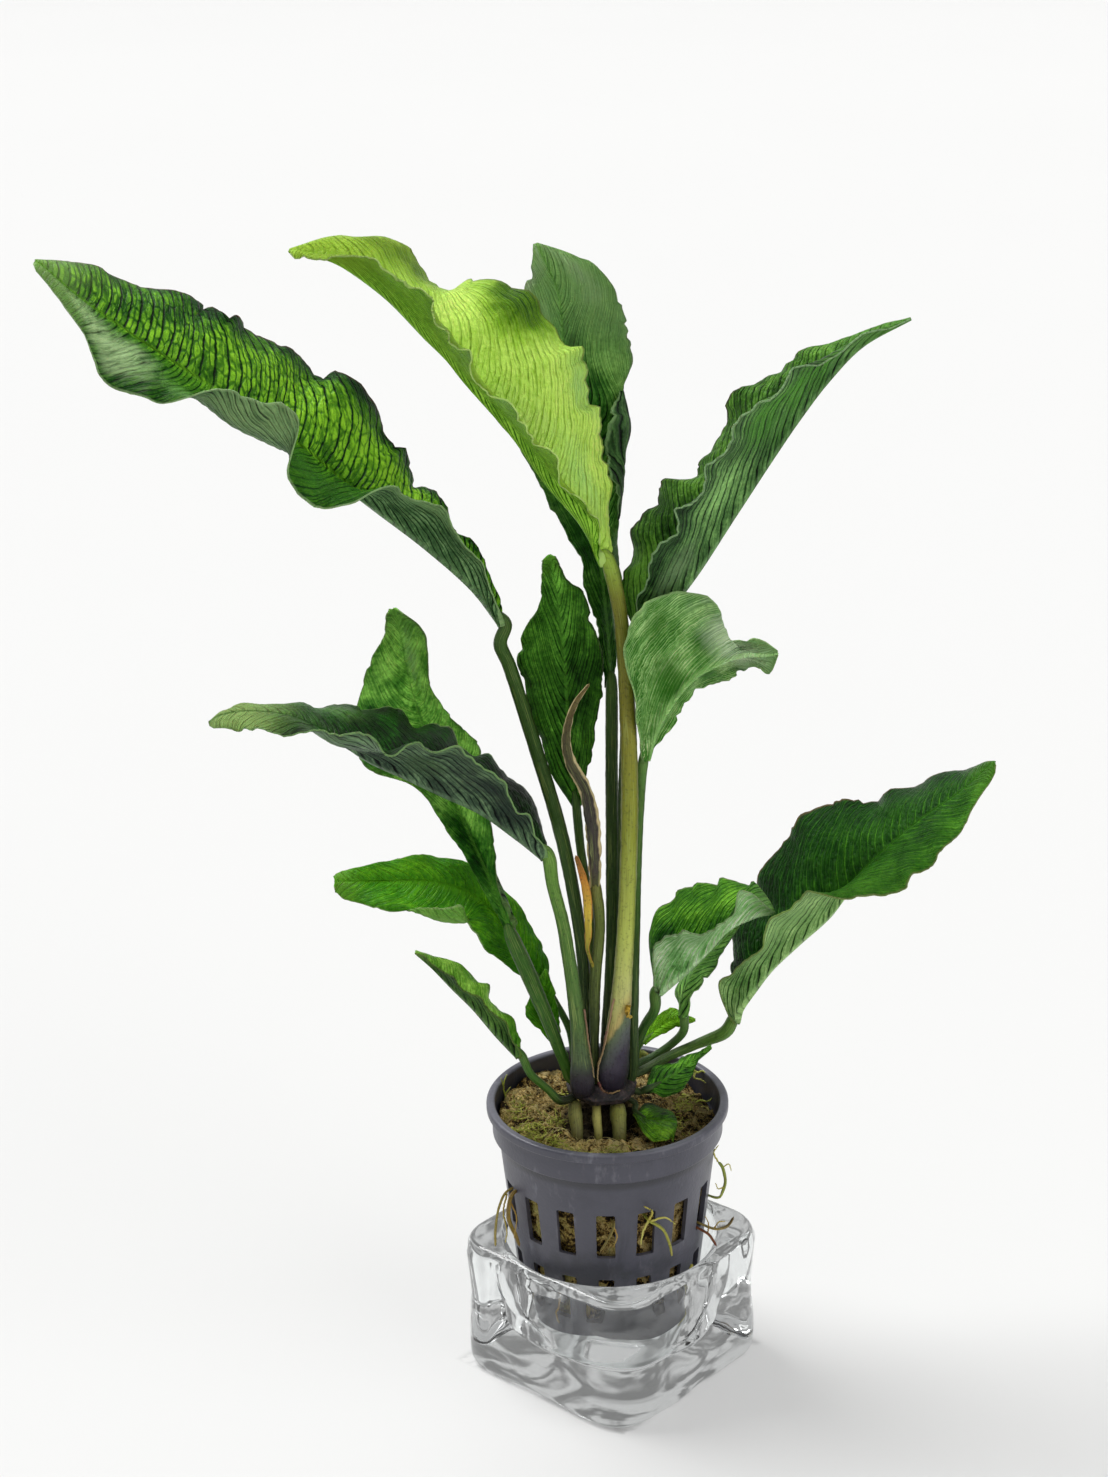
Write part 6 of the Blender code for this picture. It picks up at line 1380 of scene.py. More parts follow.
def build_pot():
    """The net pot: a thin moulded shell with a rolled rim, a collar, slots and holes in its floor."""
    steps = POT_STEPS
    profile = [(FLOOR_INNER_RADIUS, POT_BOTTOM + WALL)]
    profile += [(shell_radius(POT_BOTTOM + WALL) - WALL - 0.0005, POT_BOTTOM + WALL)]
    for index in range(13):
        height = POT_BOTTOM + WALL + 0.0004 + (COLLAR_BOTTOM - POT_BOTTOM - WALL - 0.0008) * index / 12
        profile.append((shell_radius(height) - WALL, height))
    profile += [(COLLAR_RADIUS - WALL, COLLAR_BOTTOM + WALL)]
    profile += [(RIM_INNER_RADIUS, POT_TOP - LIP_RADIUS - 0.001)]
    profile += arc(RIM_INNER_RADIUS + LIP_RADIUS, POT_TOP - LIP_RADIUS, LIP_RADIUS, 180, 90, 5)
    profile += arc(RIM_RADIUS - LIP_RADIUS, POT_TOP - LIP_RADIUS, LIP_RADIUS, 90, 0, 5)
    profile += arc(RIM_RADIUS - SMALL_ROUND, POT_TOP - RIM_DEPTH - 0.0001, SMALL_ROUND, 0, -90, 4)
    profile += arc(COLLAR_RADIUS + SMALL_ROUND, POT_TOP - RIM_DEPTH - 0.0009, SMALL_ROUND, 90, 180, 4)
    profile += [(COLLAR_RADIUS, (POT_TOP + COLLAR_BOTTOM) / 2)]
    profile += arc(COLLAR_RADIUS - 0.0005, COLLAR_BOTTOM + 0.0005, 0.0005, 0, -80, 4)
    profile += arc(SHELL_TOP_RADIUS + SMALL_ROUND, COLLAR_BOTTOM - SMALL_ROUND, SMALL_ROUND, 90, 180, 3)
    for index in range(1, 13):
        height = COLLAR_BOTTOM - 0.0012 + (POT_BOTTOM + 0.0016 - COLLAR_BOTTOM) * index / 12
        profile.append((shell_radius(height), height))
    profile += arc(SHELL_FOOT_RADIUS - FOOT_ROUND, POT_BOTTOM + FOOT_ROUND, FOOT_ROUND, 0, -90, 5)
    profile += [(FLOOR_INNER_RADIUS, POT_BOTTOM)]
    rings = [lambda angle, place=place: place for place in profile]
    mesh = tidy_mesh(polar_mesh("net_pot_shell", rings, steps))
    shell = new_object("net_pot_shell", mesh)
    cutters = bmesh.new()
    for low, high, width in SLOT_ROWS:
        middle = (low + high) / 2
        place = Matrix.Translation((0.0, WALL / 2 - shell_radius(middle), middle))
        size = Matrix.Diagonal((width, CUTTER_DEPTH, high - low, 1.0))
        for index in range(SLOT_COUNT):
            turn = Matrix.Rotation(SLOT_OFFSET + math.tau * index / SLOT_COUNT, 4, "Z")
            bmesh.ops.create_cube(cutters, size=1.0, matrix=turn @ place @ size)
    bmesh.ops.bevel(cutters, geom=cutters.edges, offset=SMALL_ROUND, segments=2, profile=0.5, affect="EDGES")
    place = Matrix.Translation((SHELL_FOOT_RADIUS / 2, 0.0, POT_BOTTOM + WALL / 2))
    for index in range(FLOOR_HOLE_COUNT):
        turn = Matrix.Rotation(math.tau * index / FLOOR_HOLE_COUNT, 4, "Z")
        bmesh.ops.create_cone(cutters, cap_ends=True, segments=32, radius1=FLOOR_HOLE_RADIUS,
                              radius2=FLOOR_HOLE_RADIUS, depth=CUTTER_DEPTH, matrix=turn @ place)
    cut_mesh = bpy.data.meshes.new("slots")
    cutters.to_mesh(cut_mesh)
    cutters.free()
    cutter = new_object("slots", cut_mesh)
    subtract = shell.modifiers.new("slots", "BOOLEAN")
    subtract.operation = "DIFFERENCE"
    subtract.solver = "EXACT"
    subtract.object = cutter
    cut_shell = bpy.data.meshes.new_from_object(shell.evaluated_get(bpy.context.evaluated_depsgraph_get()))
    bpy.data.objects.remove(shell)
    bpy.data.objects.remove(cutter)
    cut_shell.name = "net_pot_moulded"
    cut_shell.materials.clear()
    cut_shell.shade_smooth()
    cut_shell.set_sharp_from_angle(angle=math.radians(32))
    settings = bpy.context.scene.plant_pot
    shade = Shade("grey_plastic")
    place = shade.place()
    _, _, height = shade.split(place)
    cloud = shade.noise(place, 60.0, 4.0, 0.6)
    grain = shade.noise(place, 1400.0, 2.0)
    _, _, facing = shade.split(shade.node("NewGeometry").outputs["Normal"])
    scuff_place = shade.join(*[shade.times(part, scale) for part, scale in
                               zip(shade.split(place), (1.0, 1.0, 0.4))])
    scuff = shade.step(shade.noise(scuff_place, 240.0, 4.0, 0.7), 0.56, 0.72)
    dust = shade.times(shade.step(facing, 0.2, 0.9), shade.step(cloud, 0.3, 0.7))
    worn = shade.math("ADD", shade.times(scuff, 0.5), shade.times(dust, 0.6), clamp=True)
    colour = shade.mix(worn, tuple(settings.plastic), tuple(settings.worn))
    pot_x, pot_y, _ = shade.split(place)
    out = shade.length(shade.join(pot_x, pot_y))
    # Painted shade: the rim's inner wall is darkened towards the damp plastic colour
    wall = shade.times(shade.step(out, 0.02575, 0.02525), shade.step(height, 0.0560, 0.0580))
    colour = shade.mix(shade.times(wall, 0.85), colour, tuple(settings.inside))
    low = shade.math("SUBTRACT", 1.0, shade.step(height, 0.030, 0.050), clamp=True)
    run_place = shade.join(pot_x, pot_y, shade.times(height, 0.35))
    runs = shade.step(shade.noise(run_place, 130.0, 4.0, 0.65, 0.6), 0.50, 0.66)
    stain = shade.times(shade.math("MAXIMUM", runs, shade.step(cloud, 0.48, 0.62)),
                       shade.math("ADD", 0.35, low))
    colour = shade.mix(shade.times(stain, 0.6), colour, tuple(settings.inside))
    shade.bump(shade.total(grain, cloud, (scuff, 0.5)), 0.00010, 0.7)
    roughness = shade.total(settings.roughness, (scuff, 0.2), (shade.centred(cloud), 0.3))
    material = shade.finish(colour, roughness, Specular_IOR_Level=0.5)
    place_piece("net_pot_moulded", cut_shell, [material], "grey_plastic", "net_pot")


# Where pieces go on past their last spot, into what they grow from, in mm
ANCHORS = {
    "stem_withered": (-2.7, 2.8, -1.4), "yellow_sheath": (-3.0, 29.0, -1.5), "yellow_stub": (11.2, 2.2, 15.0),
    "prop_root_left": (-6.7, -12.0, -9.4), "prop_root_middle": (-1.9, -12.6, -10.2),
    "prop_root_right": (2.9, -12.6, -10.2),
}
ENDS_IN_SLOT = ("root_right_loop",)
ANCHOR_DEPTH = 0.55
RHIZOME_HALF_HEIGHT = 0.0018
SLOT_PLAY = math.radians(2.5)
ROOT_HOLD = 0.0016

# Where a stalk's streaks end and its smooth, dark foot begins, as a share of its length
PLAIN_FROM = {"top": 0.865, "mid_left": 0.88}
FOOT_SLANT = 0.045

# Stalks with a deep groove, and how far a stalk runs on inside its blade, in mm
GROOVED = ("left_back", "mid_left")
STALK_IN_BLADE = 4.0

# Hollow in the medium in front of the rhizome: middle and reach, in mm
HOLLOW = (-2.4, -3.6, 9.5, 8.6)
HOLLOW_DEPTH = 0.0030

# Painted shade on the medium under the rhizome, where no fibres or moss are laid: middle and reach, in mm
RHIZOME_SHADE_OVAL = (-1.5, -0.8, 9.5, 10.8)


def oval_distance(x, y, oval):
    """How far a place in mm is from an oval's middle, as a share of its reach."""
    return math.hypot((x - oval[0]) / oval[2], (y - oval[1]) / oval[3])


def medium_top(x, y):
    """The height of the growing medium's uneven top, which slopes down to the right and to the front."""
    out = math.hypot(x, y) / MEDIUM_RADIUS
    height = MEDIUM_TOP + MEDIUM_HEAP * (1.2 - 1.2 * out * out) - MEDIUM_SLOPE[0] * x + MEDIUM_SLOPE[1] * y
    place = Vector((x, y, 0.0)) / MM
    for lump, grain, shift in MEDIUM_LUMPS:
        height += lump * noise_at(place * grain + Vector(shift))
    return height - HOLLOW_DEPTH * smooth_step(oval_distance(place.x, place.y, HOLLOW), 1.0, 0.4)


def plug_radius(height):
    """How far out the growing medium reaches at a height: it follows the pot's inner wall."""
    shell = shell_radius(min(height, COLLAR_BOTTOM)) - WALL - MEDIUM_GAP
    in_collar = smooth_step(height, COLLAR_BOTTOM, COLLAR_BOTTOM + WALL + MEDIUM_GAP)
    return shell + (MEDIUM_RADIUS - shell) * in_collar


def build_medium():
    """The plug of fibre that fills the pot, with the loose fibres and the moss on it."""
    steps = MEDIUM_STEPS
    rows = MEDIUM_ROWS
    floor = POT_BOTTOM + WALL + MEDIUM_GAP
    rings = []
    for index in range(rows + 1):
        share = max(index / rows, 0.01)
        rings.append(lambda angle, share=share: (
            MEDIUM_RADIUS * share,
            medium_top(MEDIUM_RADIUS * share * math.cos(angle), MEDIUM_RADIUS * share * math.sin(angle))))

    def side_ring(share):
        def ring(angle):
            edge = medium_top(MEDIUM_RADIUS * math.cos(angle), MEDIUM_RADIUS * math.sin(angle))
            height = edge + (floor - edge) * share
            radius = plug_radius(height)
            place = Vector((math.cos(angle) * radius, math.sin(angle) * radius, height)) / MM
            dent = 0.0004 + 0.0007 * noise_at(place * 0.45) + 0.0004 * noise_at(place * 1.3)
            return radius - max(dent, 0.0) * smooth_step(share, 0.0, 0.05), height
        return ring

    for index in range(1, rows + 1):
        rings.append(side_ring(index / rows))
    rings.append(lambda angle: (0.004, floor))
    mesh = tidy_mesh(polar_mesh("growing_medium_plug", rings, steps))
    place_piece("growing_medium_plug", mesh, [medium_material()], "growing_medium", "growing_medium")
    build_fibres()
    build_moss()


def medium_material():
    """Damp brown fibre: matted strands, dark hollows, pale dry patches, some green and painted shade under
    the rhizome.
    """
    settings = bpy.context.scene.plant_medium
    shade = Shade("growing_medium")
    place = shade.place()
    x, y, height = shade.split(place)
    cloud = shade.uneven(place, 230.0, 3.0, 0.6, 0.8)
    mat = shade.uneven(place, 480.0, 5.0, 0.75, 1.8)
    fine = shade.uneven(place, 2400.0, 3.0, 0.7)
    strands = shade.step(shade.cells(shade.join(x, y, shade.times(height, 0.4)), 900.0, 1.0),
                         0.10, 0.02)
    tone = shade.total(0.50, (cloud, 2.6), (mat, 1.8), (fine, 1.3), (strands, 0.12))
    colour = shade.ramp(tone, [
        (0.0, screen(18, 12, 6)), (0.32, screen(60, 44, 20)), (0.48, tuple(settings.damp)),
        (0.66, tuple(settings.fibre)), (1.0, screen(222, 202, 146))])
    green = shade.total((x, -14.0), (y, -14.0), (cloud, 1.6))
    green = shade.times(shade.step(green, 0.20, 0.65), 0.40)
    colour = shade.mix(shade.times(green, shade.step(tone, 0.2, 0.6)), colour, tuple(settings.moss))
    damp = shade.step(shade.total((x, 40.0), (cloud, 1.4)), 0.20, 0.80)
    colour = shade.tint(colour, damp, 0.42, (30, 26, 12))
    # Painted shade under the rhizome, darkest in the middle of its oval
    painted_shade_place = shade.join(shade.math("MULTIPLY_ADD", x, 1 / (RHIZOME_SHADE_OVAL[2] * MM), -RHIZOME_SHADE_OVAL[0] / RHIZOME_SHADE_OVAL[2]),
                           shade.math("MULTIPLY_ADD", y, 1 / (RHIZOME_SHADE_OVAL[3] * MM), -RHIZOME_SHADE_OVAL[1] / RHIZOME_SHADE_OVAL[3]))
    shadow = shade.step(shade.total(shade.length(painted_shade_place), (cloud, 0.7)), 1.2, 0.8)
    colour = shade.tint(colour, shadow, 0.94, (18, 13, 7))
    shade.bump(shade.total(mat, (fine, 0.5), (strands, 0.3)), 0.0014, 1.0)
    return shade.finish(colour, shade.total(0.85, (fine, 0.3)), Specular_IOR_Level=0.12)


def strand_mesh(name, strands, corners=3, taper_share=0.75):
    """Many thin strands in one mesh. A strand is (points, radius, tint)."""
    coordinates, faces, tints = [], [], []
    for points, radius, tint in strands:
        start = len(coordinates)
        for index, point in enumerate(points):
            along = points[min(index + 1, len(points) - 1)] - points[max(index - 1, 0)]
            side = along.orthogonal().normalized()
            other = along.cross(side).normalized()
            taper = radius * (1 - taper_share * index / (len(points) - 1))
            for corner in range(corners):
                angle = math.tau * corner / corners
                coordinates.append(point + (side * math.cos(angle) + other * math.sin(angle)) * taper)
                tints.append((tint, index / (len(points) - 1), 0.0))
        faces += tube_faces(len(points), corners, start)
    mesh = new_mesh(name, coordinates, faces)
    keep_values(mesh, "strand", tints)
    return tidy_mesh(mesh)


def strand_material(name, colours):
    """A tint of its own for each strand, from a row of colours."""
    shade = Shade(name)
    tint, along, _ = shade.attribute("strand")
    grain = shade.noise(shade.place(), 900.0, 2.0)
    share = shade.math("ADD", tint, shade.times(shade.math("SUBTRACT", grain, 0.5), 0.3),
                       clamp=True)
    stops = [(index / (len(colours) - 1), screen(*colour)) for index, colour in enumerate(colours)]
    colour = shade.mix(shade.times(along, 0.25), shade.ramp(share, stops), screen(200, 196, 110))
    return shade.finish(colour, shade.math("ADD", shade.times(grain, 0.3), 0.5),
                        Specular_IOR_Level=0.3)


def build_fibres():
    """Loose fibres that lie on the growing medium."""
    settings = bpy.context.scene.plant_medium
    chance = random.Random(11)
    strands = []
    for _ in range(settings.fibre_count):
        radius = (MEDIUM_RADIUS - 0.0015) * math.sqrt(chance.random())
        angle = chance.uniform(0, math.tau)
        x, y = radius * math.cos(angle), radius * math.sin(angle)
        # Loose fibres are left out of the painted shade under the rhizome
        outside_painted_shade = oval_distance(x / MM, y / MM, RHIZOME_SHADE_OVAL) > 1.0
        heading = chance.uniform(0, math.tau)
        points = []
        step = chance.uniform(*FIBRE_STEP)
        lift = chance.uniform(*FIBRE_LIFT)
        for index in range(FIBRE_POINTS):
            height = medium_top(x, y) + 0.0001 + lift * math.sin(math.pi * index / (FIBRE_POINTS - 1))
            points.append(Vector((x, y, height)))
            heading += chance.uniform(-0.6, 0.6)
            x += step * math.cos(heading)
            y += step * math.sin(heading)
            if math.hypot(x, y) > MEDIUM_RADIUS - 0.0006:
                break
        if len(points) > 2 and outside_painted_shade:
            strands.append((points, chance.uniform(*FIBRE_RADIUS), chance.random()))
    mesh = strand_mesh("medium_fibres", strands)
    material = strand_material("loose_fibre", FIBRE_TINTS)
    place_piece("medium_fibres", mesh, [material], "growing_medium")


# Where the moss grows: middle (mm from the pot's axis), spread in mm and share of the leaves
MOSS_PATCHES = (
    ((-17.5, -9.0), (4.5, 4.0), 0.20),
    ((-12.5, -14.5), (3.5, 3.0), 0.12),
    ((-5.5, -19.0), (5.0, 2.2), 0.14),
    ((1.5, -17.0), (3.5, 2.8), 0.14),
    ((-20.0, 2.0), (2.0, 5.0), 0.08),
    ((-8.0, 5.0), (4.0, 5.0), 0.06),
    ((14.0, -3.0), (5.5, 5.0), 0.12),
    ((17.5, 7.0), (3.0, 5.0), 0.08),
    ((-6.0, 16.0), (5.0, 4.0), 0.06),
    ((-12.0, -3.5), (2.4, 3.0), 0.07),
)


def build_moss():
    """Tufts of moss that creep over the growing medium."""
    settings = bpy.context.scene.plant_medium
    chance = random.Random(23)
    strands = []
    for middle, spread, share in MOSS_PATCHES:
        for _ in range(int(settings.moss_count * share)):
            x = (middle[0] + chance.gauss(0, spread[0] / 2)) * MM
            y = (middle[1] + chance.gauss(0, spread[1] / 2)) * MM
            # Moss is left out of the painted shade under the rhizome
            if math.hypot(x, y) > MEDIUM_RADIUS - 0.0008 or oval_distance(x / MM, y / MM, RHIZOME_SHADE_OVAL) < 0.9:
                continue
            heading = chance.uniform(0, math.tau)
            length = chance.uniform(*MOSS_LENGTH)
            rise = chance.uniform(*MOSS_RISE)
            foot = Vector((x, y, medium_top(x, y) - 0.0001))
            way = Vector((math.cos(heading), math.sin(heading), rise)).normalized()
            bend = Vector((chance.uniform(-0.3, 0.3), chance.uniform(-0.3, 0.3), -0.25))
            points = [foot + way * length * part + bend * length * part * part
                      for part in (0, 0.35, 0.7, 1.0)]
            strands.append((points, chance.uniform(*MOSS_RADIUS), chance.random()))
    mesh = strand_mesh("moss", strands)
    material = strand_material("moss", MOSS_TINTS)
    place_piece("moss", mesh, [material], "growing_medium")


def build_rhizome():
    """The dark creeping stem: a thick lumpy disc with old leaf scars."""
    rings = []
    for row in range(RHIZOME_ROWS + 1):
        turn = math.pi * row / RHIZOME_ROWS - math.pi / 2

        def ring(angle, turn=turn):
            place = Vector((math.cos(angle) * 1.6, math.sin(angle) * 1.6, math.sin(turn) * 0.6))
            lump = 1 + 0.10 * noise_at(place) + 0.05 * noise_at(place * 3)
            flat = abs(math.cos(turn)) ** 0.45
            thick = abs(math.sin(turn)) ** 0.8 * (1 if turn > 0 else -1)
            radius = max(RHIZOME_RADIUS * flat * lump, 0.0002)
            scar = 0.00015 * math.sin(thick * 9 + 2 * noise_at(place * 2))
            return radius + scar, RHIZOME_THICKNESS * 0.62 * thick * lump
        rings.append(ring)
    mesh = polar_mesh("rhizome_creeping", rings, RHIZOME_STEPS)
    mesh.transform(Matrix.Translation(RHIZOME_MIDDLE))
    tidy_mesh(mesh)
    shade = Shade("rhizome")
    place = shade.place()
    cloud = shade.noise(place, 380.0, 4.0, 0.6)
    fine = shade.noise(place, 1800.0, 3.0)
    colour = shade.mix(shade.step(cloud, 0.4, 0.7), screen(24, 22, 24), screen(70, 56, 58))
    colour = shade.mix(shade.times(shade.step(fine, 0.6, 0.75), 0.6), colour, screen(112, 92, 66))
    shade.bump(shade.math("ADD", cloud, fine), 0.0003, 0.8)
    material = shade.finish(colour, shade.math("ADD", shade.times(fine, 0.3), 0.4),
                            Specular_IOR_Level=0.4)
    place_piece("rhizome_creeping", mesh, [material], "rhizome", "rhizome")


def build_blades():
    """Every blade, each with skins of its own for the upper and the under side."""
    for seed, (key, leaf) in enumerate(LEAVES.items()):
        name, look = "leaf_" + key, LOOKS[key]
        mesh = blade_mesh(name + "_blade", leaf, look, seed * 13 + 5)
        skins = [blade_material(name + "_upper", look, True), blade_material(name + "_under", look, False)]
        place_piece(name + "_blade", mesh, skins, slot_of(name), name)


def rhizome_anchor(foot):
    """The first point well inside the rhizome on the way from a stalk's foot to the rhizome's middle."""
    way = RHIZOME_MIDDLE - foot
    for step in range(101):
        offset = way * (step / 100 - 1)
        outward = math.hypot(offset.x, offset.y) / RHIZOME_RADIUS
        if outward ** 2 + (offset.z / RHIZOME_HALF_HEIGHT) ** 2 < ANCHOR_DEPTH:
            break
    return RHIZOME_MIDDLE + offset


def slot_anchor(end):
    """A point in the growing medium behind the pot's slot that is nearest to the end of a root."""
    bottom, top, _ = SLOT_ROWS[0]
    height = min(max(end.z, bottom + MM), top - MM)
    spacing = math.tau / SLOT_COUNT
    angle = math.atan2(end.y, end.x)
    middle = round((angle - SLOT_OFFSET) / spacing) * spacing + SLOT_OFFSET
    angle = min(max(angle, middle - SLOT_PLAY), middle + SLOT_PLAY)
    radius = shell_radius(height) - WALL - ROOT_HOLD
    return Vector((radius * math.cos(angle), radius * math.sin(angle), height))


def build_stalks():
    """Every leaf stalk, from inside the foot of its blade to the rhizome."""
    for seed, (key, leaf) in enumerate(LEAVES.items()):
        name, base, rib = "stem_" + key, leaf.base, leaf.sections[0][1]
        share = min(1.0, STALK_IN_BLADE / max(1.0, math.dist(base, rib)))
        inside = tuple(a + (b - a) * share for a, b in zip(base, rib))
        spots = [(*inside, leaf.diameter * BLADE_FOOT_SHARE), (*base, leaf.diameter), *leaf.stalk]
        grooved = key in GROOVED
        mesh, length = tube_mesh(name + "_stalk", spots, after=rhizome_anchor(spot(*spots[-1][:3])),
                                 groove=0.25 if grooved else 0.10, lumps=0.03, seed=seed)
        material = stalk_material(name, STALK_LOOKS[name], length, 0.6 if grooved else 0.4,
                                  plain_from=PLAIN_FROM.get(key, 2.0),
                                  slant=FOOT_SLANT if key == "top" else 0.0)
        place_piece(name + "_stalk", mesh, [material], slot_of(name), name)


def build_dry_pieces():
    """The withered shoot, its sheath and the cut stub."""
    for seed, (name, spots) in enumerate(DRY_PIECES.items()):
        dry = name != "stem_withered"
        anchor = ANCHORS.get(name)
        mesh, length = tube_mesh(name + "_dry", spots, after=anchor and spot(*anchor),
                                 groove=0.35 if dry else 0.1, lumps=0.16 if dry else 0.04, seed=seed + 40)
        material = stalk_material(name, STALK_LOOKS[name], length, 0.45, 0.7 if dry else 0.3,
                                  DRY_EDGES.get(name))
        place_piece(name + "_dry", mesh, [material], slot_of(name), name)


def well_place(turn, out, height):
    """A point from its turn about the axis in degrees, its distance from the axis and its height in mm."""
    angle = math.radians(turn)
    return Vector((out * math.cos(angle), out * math.sin(angle), height)) * MM


def build_roots():
    """The thick roots that prop the rhizome up, the fine ones out of the slots, and their rootlets."""
    for seed, (name, spots) in enumerate({**PROP_ROOTS, **HANGING_ROOTS}.items()):
        thick = name in PROP_ROOTS
        before = after = None
        if thick:
            after = spot(*ANCHORS[name])
        elif name in ENDS_IN_SLOT:
            after = slot_anchor(spot(*spots[-1][:3]))
        else:
            before = slot_anchor(spot(*spots[0][:3]))
        mesh, length = tube_mesh(name + "_root", spots, radii_scale=1.0 if thick else HANGING_ROOT_SCALE,
                                 before=before, after=after,
                                 lumps=0.05 if thick else 0.16, seed=seed + 60, sides=20 if thick else 12)
        material = stalk_material(name, STALK_LOOKS[name], length, 0.35, 0.35)
        place_piece(name + "_root", mesh, [material], slot_of(name), name)
    for seed, (name, (node, tints, strands)) in enumerate(SMALL_GROWTH.items()):
        growth = [([spot(*place) for place in spots], radius, tint) for radius, tint, spots in strands]
        if name == "rootlets":
            growth += [([well_place(*point) for point in points], radius, tint)
                       for radius, tint, points in WELL_ROOTS]
        place_growth(name, growth, tints, slot_of(node), seed)


def place_growth(name, growth, tints, slot, seed):
    """Put smooth, wavering strands in the scene. A strand is (points, radius in mm, tint)."""
    chance = random.Random(seed + 71)
    strands = []
    for points, radius, tint in growth:
        steps = 10 * (len(points) - 1)
        waver = [Vector([chance.uniform(-1, 1) for _ in range(3)]) * radius * MM * STRAND_WAVER
                 for _ in range(steps + 1)]
        line = [curve_through(points, index * (len(points) - 1) / steps) + waver[index]
                for index in range(steps + 1)]
        strands.append((line, radius * MM, tint))
    mesh = strand_mesh(name, strands, corners=8, taper_share=0.5)
    place_piece(name, mesh, [strand_material(name, tints)], slot)


def build_stage():
    """A pale sweep of floor with painted shade and caustics under the holder, soft light, and the
    photograph's camera.
    """
    settings = bpy.context.scene.plant_stage
    scene = bpy.context.scene
    profile = [(reach, 0.0) for reach in (-3.0, -1.2, 0.0, 1.2, 3.0, SWEEP_START)]
    profile += [(SWEEP_START + SWEEP_RADIUS * math.sin(math.radians(angle)),
                 SWEEP_RADIUS - SWEEP_RADIUS * math.cos(math.radians(angle))) for angle in range(10, 91, 10)]
    profile += [(SWEEP_START + SWEEP_RADIUS, 8.0)]
    coordinates = [(x, y, z) for y, z in profile for x in (-FLOOR_HALF_WIDTH, FLOOR_HALF_WIDTH)]
    faces = [(2 * index, 2 * index + 1, 2 * index + 3, 2 * index + 2) for index in range(len(profile) - 1)]
    mesh = new_mesh("floor", coordinates, faces)
    mesh.shade_smooth()
    shade = Shade("floor")
    cloud = shade.noise(shade.place(), 3.0, 2.0)
    pale = tuple(settings.floor)
    colour = shade.mix(cloud, pale, tuple(value * 0.98 for value in pale))
    # Painted shade and painted caustics under the holder: the floor's glow is dimmed and mottled there
    x, y, _ = shade.split(shade.place())
    turn = (math.cos(BLOCK_TURN), math.sin(BLOCK_TURN))
    sides = [shade.math("ABSOLUTE", shade.total((x, turn[0]), (y, turn[1]))),
             shade.math("ABSOLUTE", shade.total((x, -turn[1]), (y, turn[0])))]
    outside = shade.step(shade.math("MAXIMUM", *sides), BLOCK_SIDE / 2 - 0.004, BLOCK_SIDE / 2)
    caustic_swirl = shade.noise(shade.place(), 60.0, 3.0, 0.5, 2.0)
    painted_caustics = shade.math("MULTIPLY_ADD", shade.step(caustic_swirl, 0.40, 0.56), 0.62, 0.38)
    glow = shade.times(shade.math("MAXIMUM", outside, painted_caustics), settings.glow)
    material = shade.finish(colour, shade.total(0.6, (cloud, 0.1)), Specular_IOR_Level=0.0,
                            Emission_Color=(1.0, 1.0, 1.0, 1.0))
    shade.feed(shade.shader.inputs["Emission Strength"], glow)
    mesh.materials.append(material)
    floor = new_object("floor", mesh)
    world = bpy.data.worlds.new("surround")
    world.use_nodes = True
    background = world.node_tree.nodes["Background"]
    background.inputs["Color"].default_value = (1.0, 1.0, 1.0, 1.0)
    background.inputs["Strength"].default_value = settings.sky
    scene.world = world
    for name, way, power, spread in (("key", (-0.55, 0.30, 1.0), settings.key, 35.0),
                                     ("fill", (0.8, -0.45, 0.55), settings.fill, 50.0)):
        data = bpy.data.lights.new(name, "SUN")
        data.angle = math.radians(spread)
        data.energy = power
        lamp = new_object(name, data)
        lamp.location = way
        lamp.rotation_euler = Vector(way).to_track_quat("Z", "Y").to_euler()
    ahead = Vector((math.sin(-CAMERA_YAW) * math.cos(CAMERA_PITCH),
                    math.cos(-CAMERA_YAW) * math.cos(CAMERA_PITCH), -math.sin(CAMERA_PITCH)))
    level = ahead.cross(Vector((0.0, 0.0, 1.0))).normalized()
    above = level.cross(ahead)
    right = level * math.cos(CAMERA_ROLL) + above * math.sin(CAMERA_ROLL)
    up = above * math.cos(CAMERA_ROLL) - level * math.sin(CAMERA_ROLL)
    data = bpy.data.cameras.new("photograph")
    data.lens = CAMERA_LENS
    data.sensor_width = SENSOR_WIDTH
    data.sensor_fit = "AUTO"
    data.clip_start = 0.01
    data.clip_end = 50.0
    camera = new_object("photograph", data)
    camera.matrix_world = Matrix((
        (right.x, up.x, -ahead.x, CAMERA_PLACE.x), (right.y, up.y, -ahead.y, CAMERA_PLACE.y),
        (right.z, up.z, -ahead.z, CAMERA_PLACE.z), (0.0, 0.0, 0.0, 1.0)))
    scene.camera = camera
    scene.view_settings.view_transform = "Standard"


class PLANT_OT_holder(Operator):
    """Build the clear holder"""
    bl_idname = "plant.holder"
    bl_label = "Clear holder"

    def execute(self, context):
        build_holder()
        return {"FINISHED"}


class PLANT_OT_pot(Operator):
    """Build the net pot"""
    bl_idname = "plant.pot"
    bl_label = "Net pot"

    def execute(self, context):
        build_pot()
        return {"FINISHED"}


class PLANT_OT_medium(Operator):
    """Build the growing medium, its loose fibres and its moss"""
    bl_idname = "plant.medium"
    bl_label = "Growing medium"

    def execute(self, context):
        build_medium()
        return {"FINISHED"}


class PLANT_OT_rhizome(Operator):
    """Build the rhizome"""
    bl_idname = "plant.rhizome"
    bl_label = "Rhizome"

    def execute(self, context):
        build_rhizome()
        return {"FINISHED"}


class PLANT_OT_blades(Operator):
    """Build every leaf blade"""
    bl_idname = "plant.blades"
    bl_label = "Blades"

    def execute(self, context):
        build_blades()
        return {"FINISHED"}


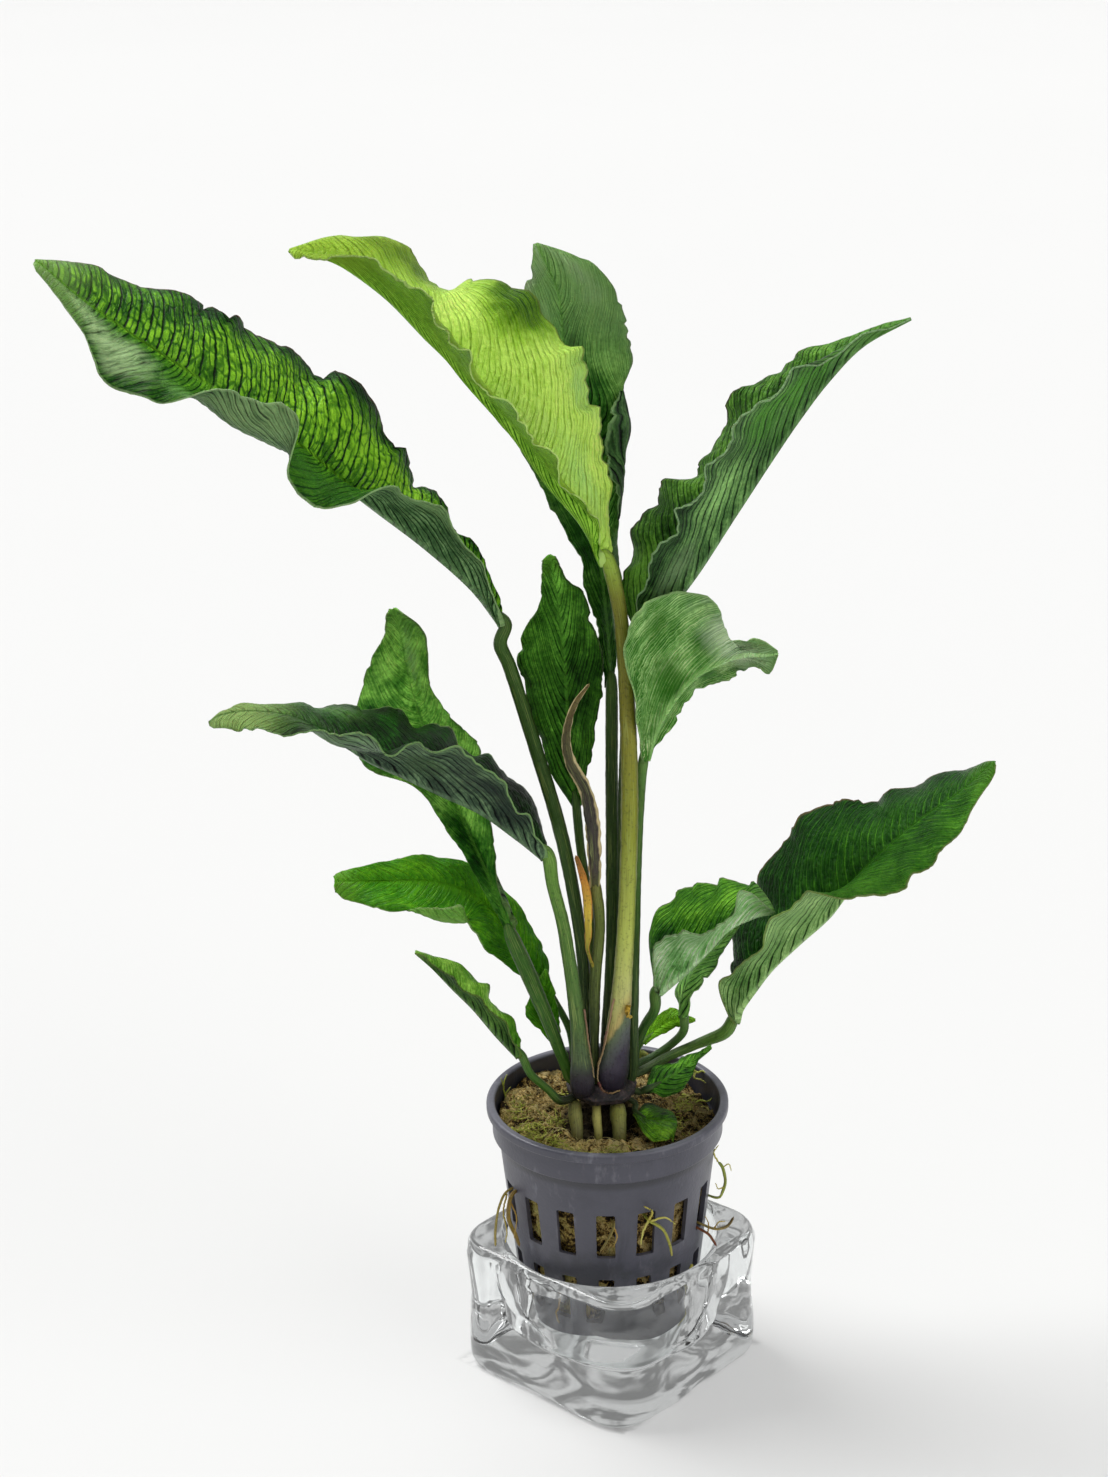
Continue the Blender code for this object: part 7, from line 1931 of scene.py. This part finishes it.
class PLANT_OT_stalks(Operator):
    """Build every leaf stalk"""
    bl_idname = "plant.stalks"
    bl_label = "Stalks"

    def execute(self, context):
        build_stalks()
        return {"FINISHED"}


class PLANT_OT_dry_pieces(Operator):
    """Build the withered shoot, its sheath and the cut stub"""
    bl_idname = "plant.dry_pieces"
    bl_label = "Dry pieces"

    def execute(self, context):
        build_dry_pieces()
        return {"FINISHED"}


class PLANT_OT_roots(Operator):
    """Build the prop roots and the hanging roots"""
    bl_idname = "plant.roots"
    bl_label = "Roots"

    def execute(self, context):
        build_roots()
        return {"FINISHED"}


class PLANT_OT_stage(Operator):
    """Build the floor, the lights and the camera"""
    bl_idname = "plant.stage"
    bl_label = "Stage"

    def execute(self, context):
        build_stage()
        return {"FINISHED"}


GROUPS = (
    ("plant_holder", HolderSettings, PLANT_OT_holder),
    ("plant_pot", PotSettings, PLANT_OT_pot),
    ("plant_medium", MediumSettings, PLANT_OT_medium),
    ("", None, PLANT_OT_rhizome),
    ("plant_blades", BladeSettings, PLANT_OT_blades),
    ("plant_stalks", StalkSettings, PLANT_OT_stalks),
    ("", None, PLANT_OT_dry_pieces),
    ("", None, PLANT_OT_roots),
    ("plant_stage", StageSettings, PLANT_OT_stage),
)


class PLANT_PT_parts(Panel):
    """The plant's settings and a button for each group of pieces"""
    bl_idname = "PLANT_PT_parts"
    bl_label = "Potted plant"
    bl_space_type = "VIEW_3D"
    bl_region_type = "UI"
    bl_category = "Plant"

    def draw(self, context):
        for attribute, settings, action in GROUPS:
            box = self.layout.box()
            if settings is not None:
                group = getattr(context.scene, attribute)
                for name in settings.__annotations__:
                    box.prop(group, name)
            box.operator(action.bl_idname)


def register():
    """Make the settings, the operators and the panel known."""
    for attribute, settings, action in GROUPS:
        if settings is not None:
            bpy.utils.register_class(settings)
            setattr(bpy.types.Scene, attribute, PointerProperty(type=settings))
        bpy.utils.register_class(action)
    bpy.utils.register_class(PLANT_PT_parts)


def unregister():
    """Take the settings, the operators and the panel away again."""
    bpy.utils.unregister_class(PLANT_PT_parts)
    for attribute, settings, action in reversed(GROUPS):
        bpy.utils.unregister_class(action)
        if settings is not None:
            delattr(bpy.types.Scene, attribute)
            bpy.utils.unregister_class(settings)


def main():
    """Build everything, in order."""
    register()
    for _, _, action in GROUPS:
        group, name = action.bl_idname.split(".")
        getattr(getattr(bpy.ops, group), name)()


if __name__ == "__main__":
    main()
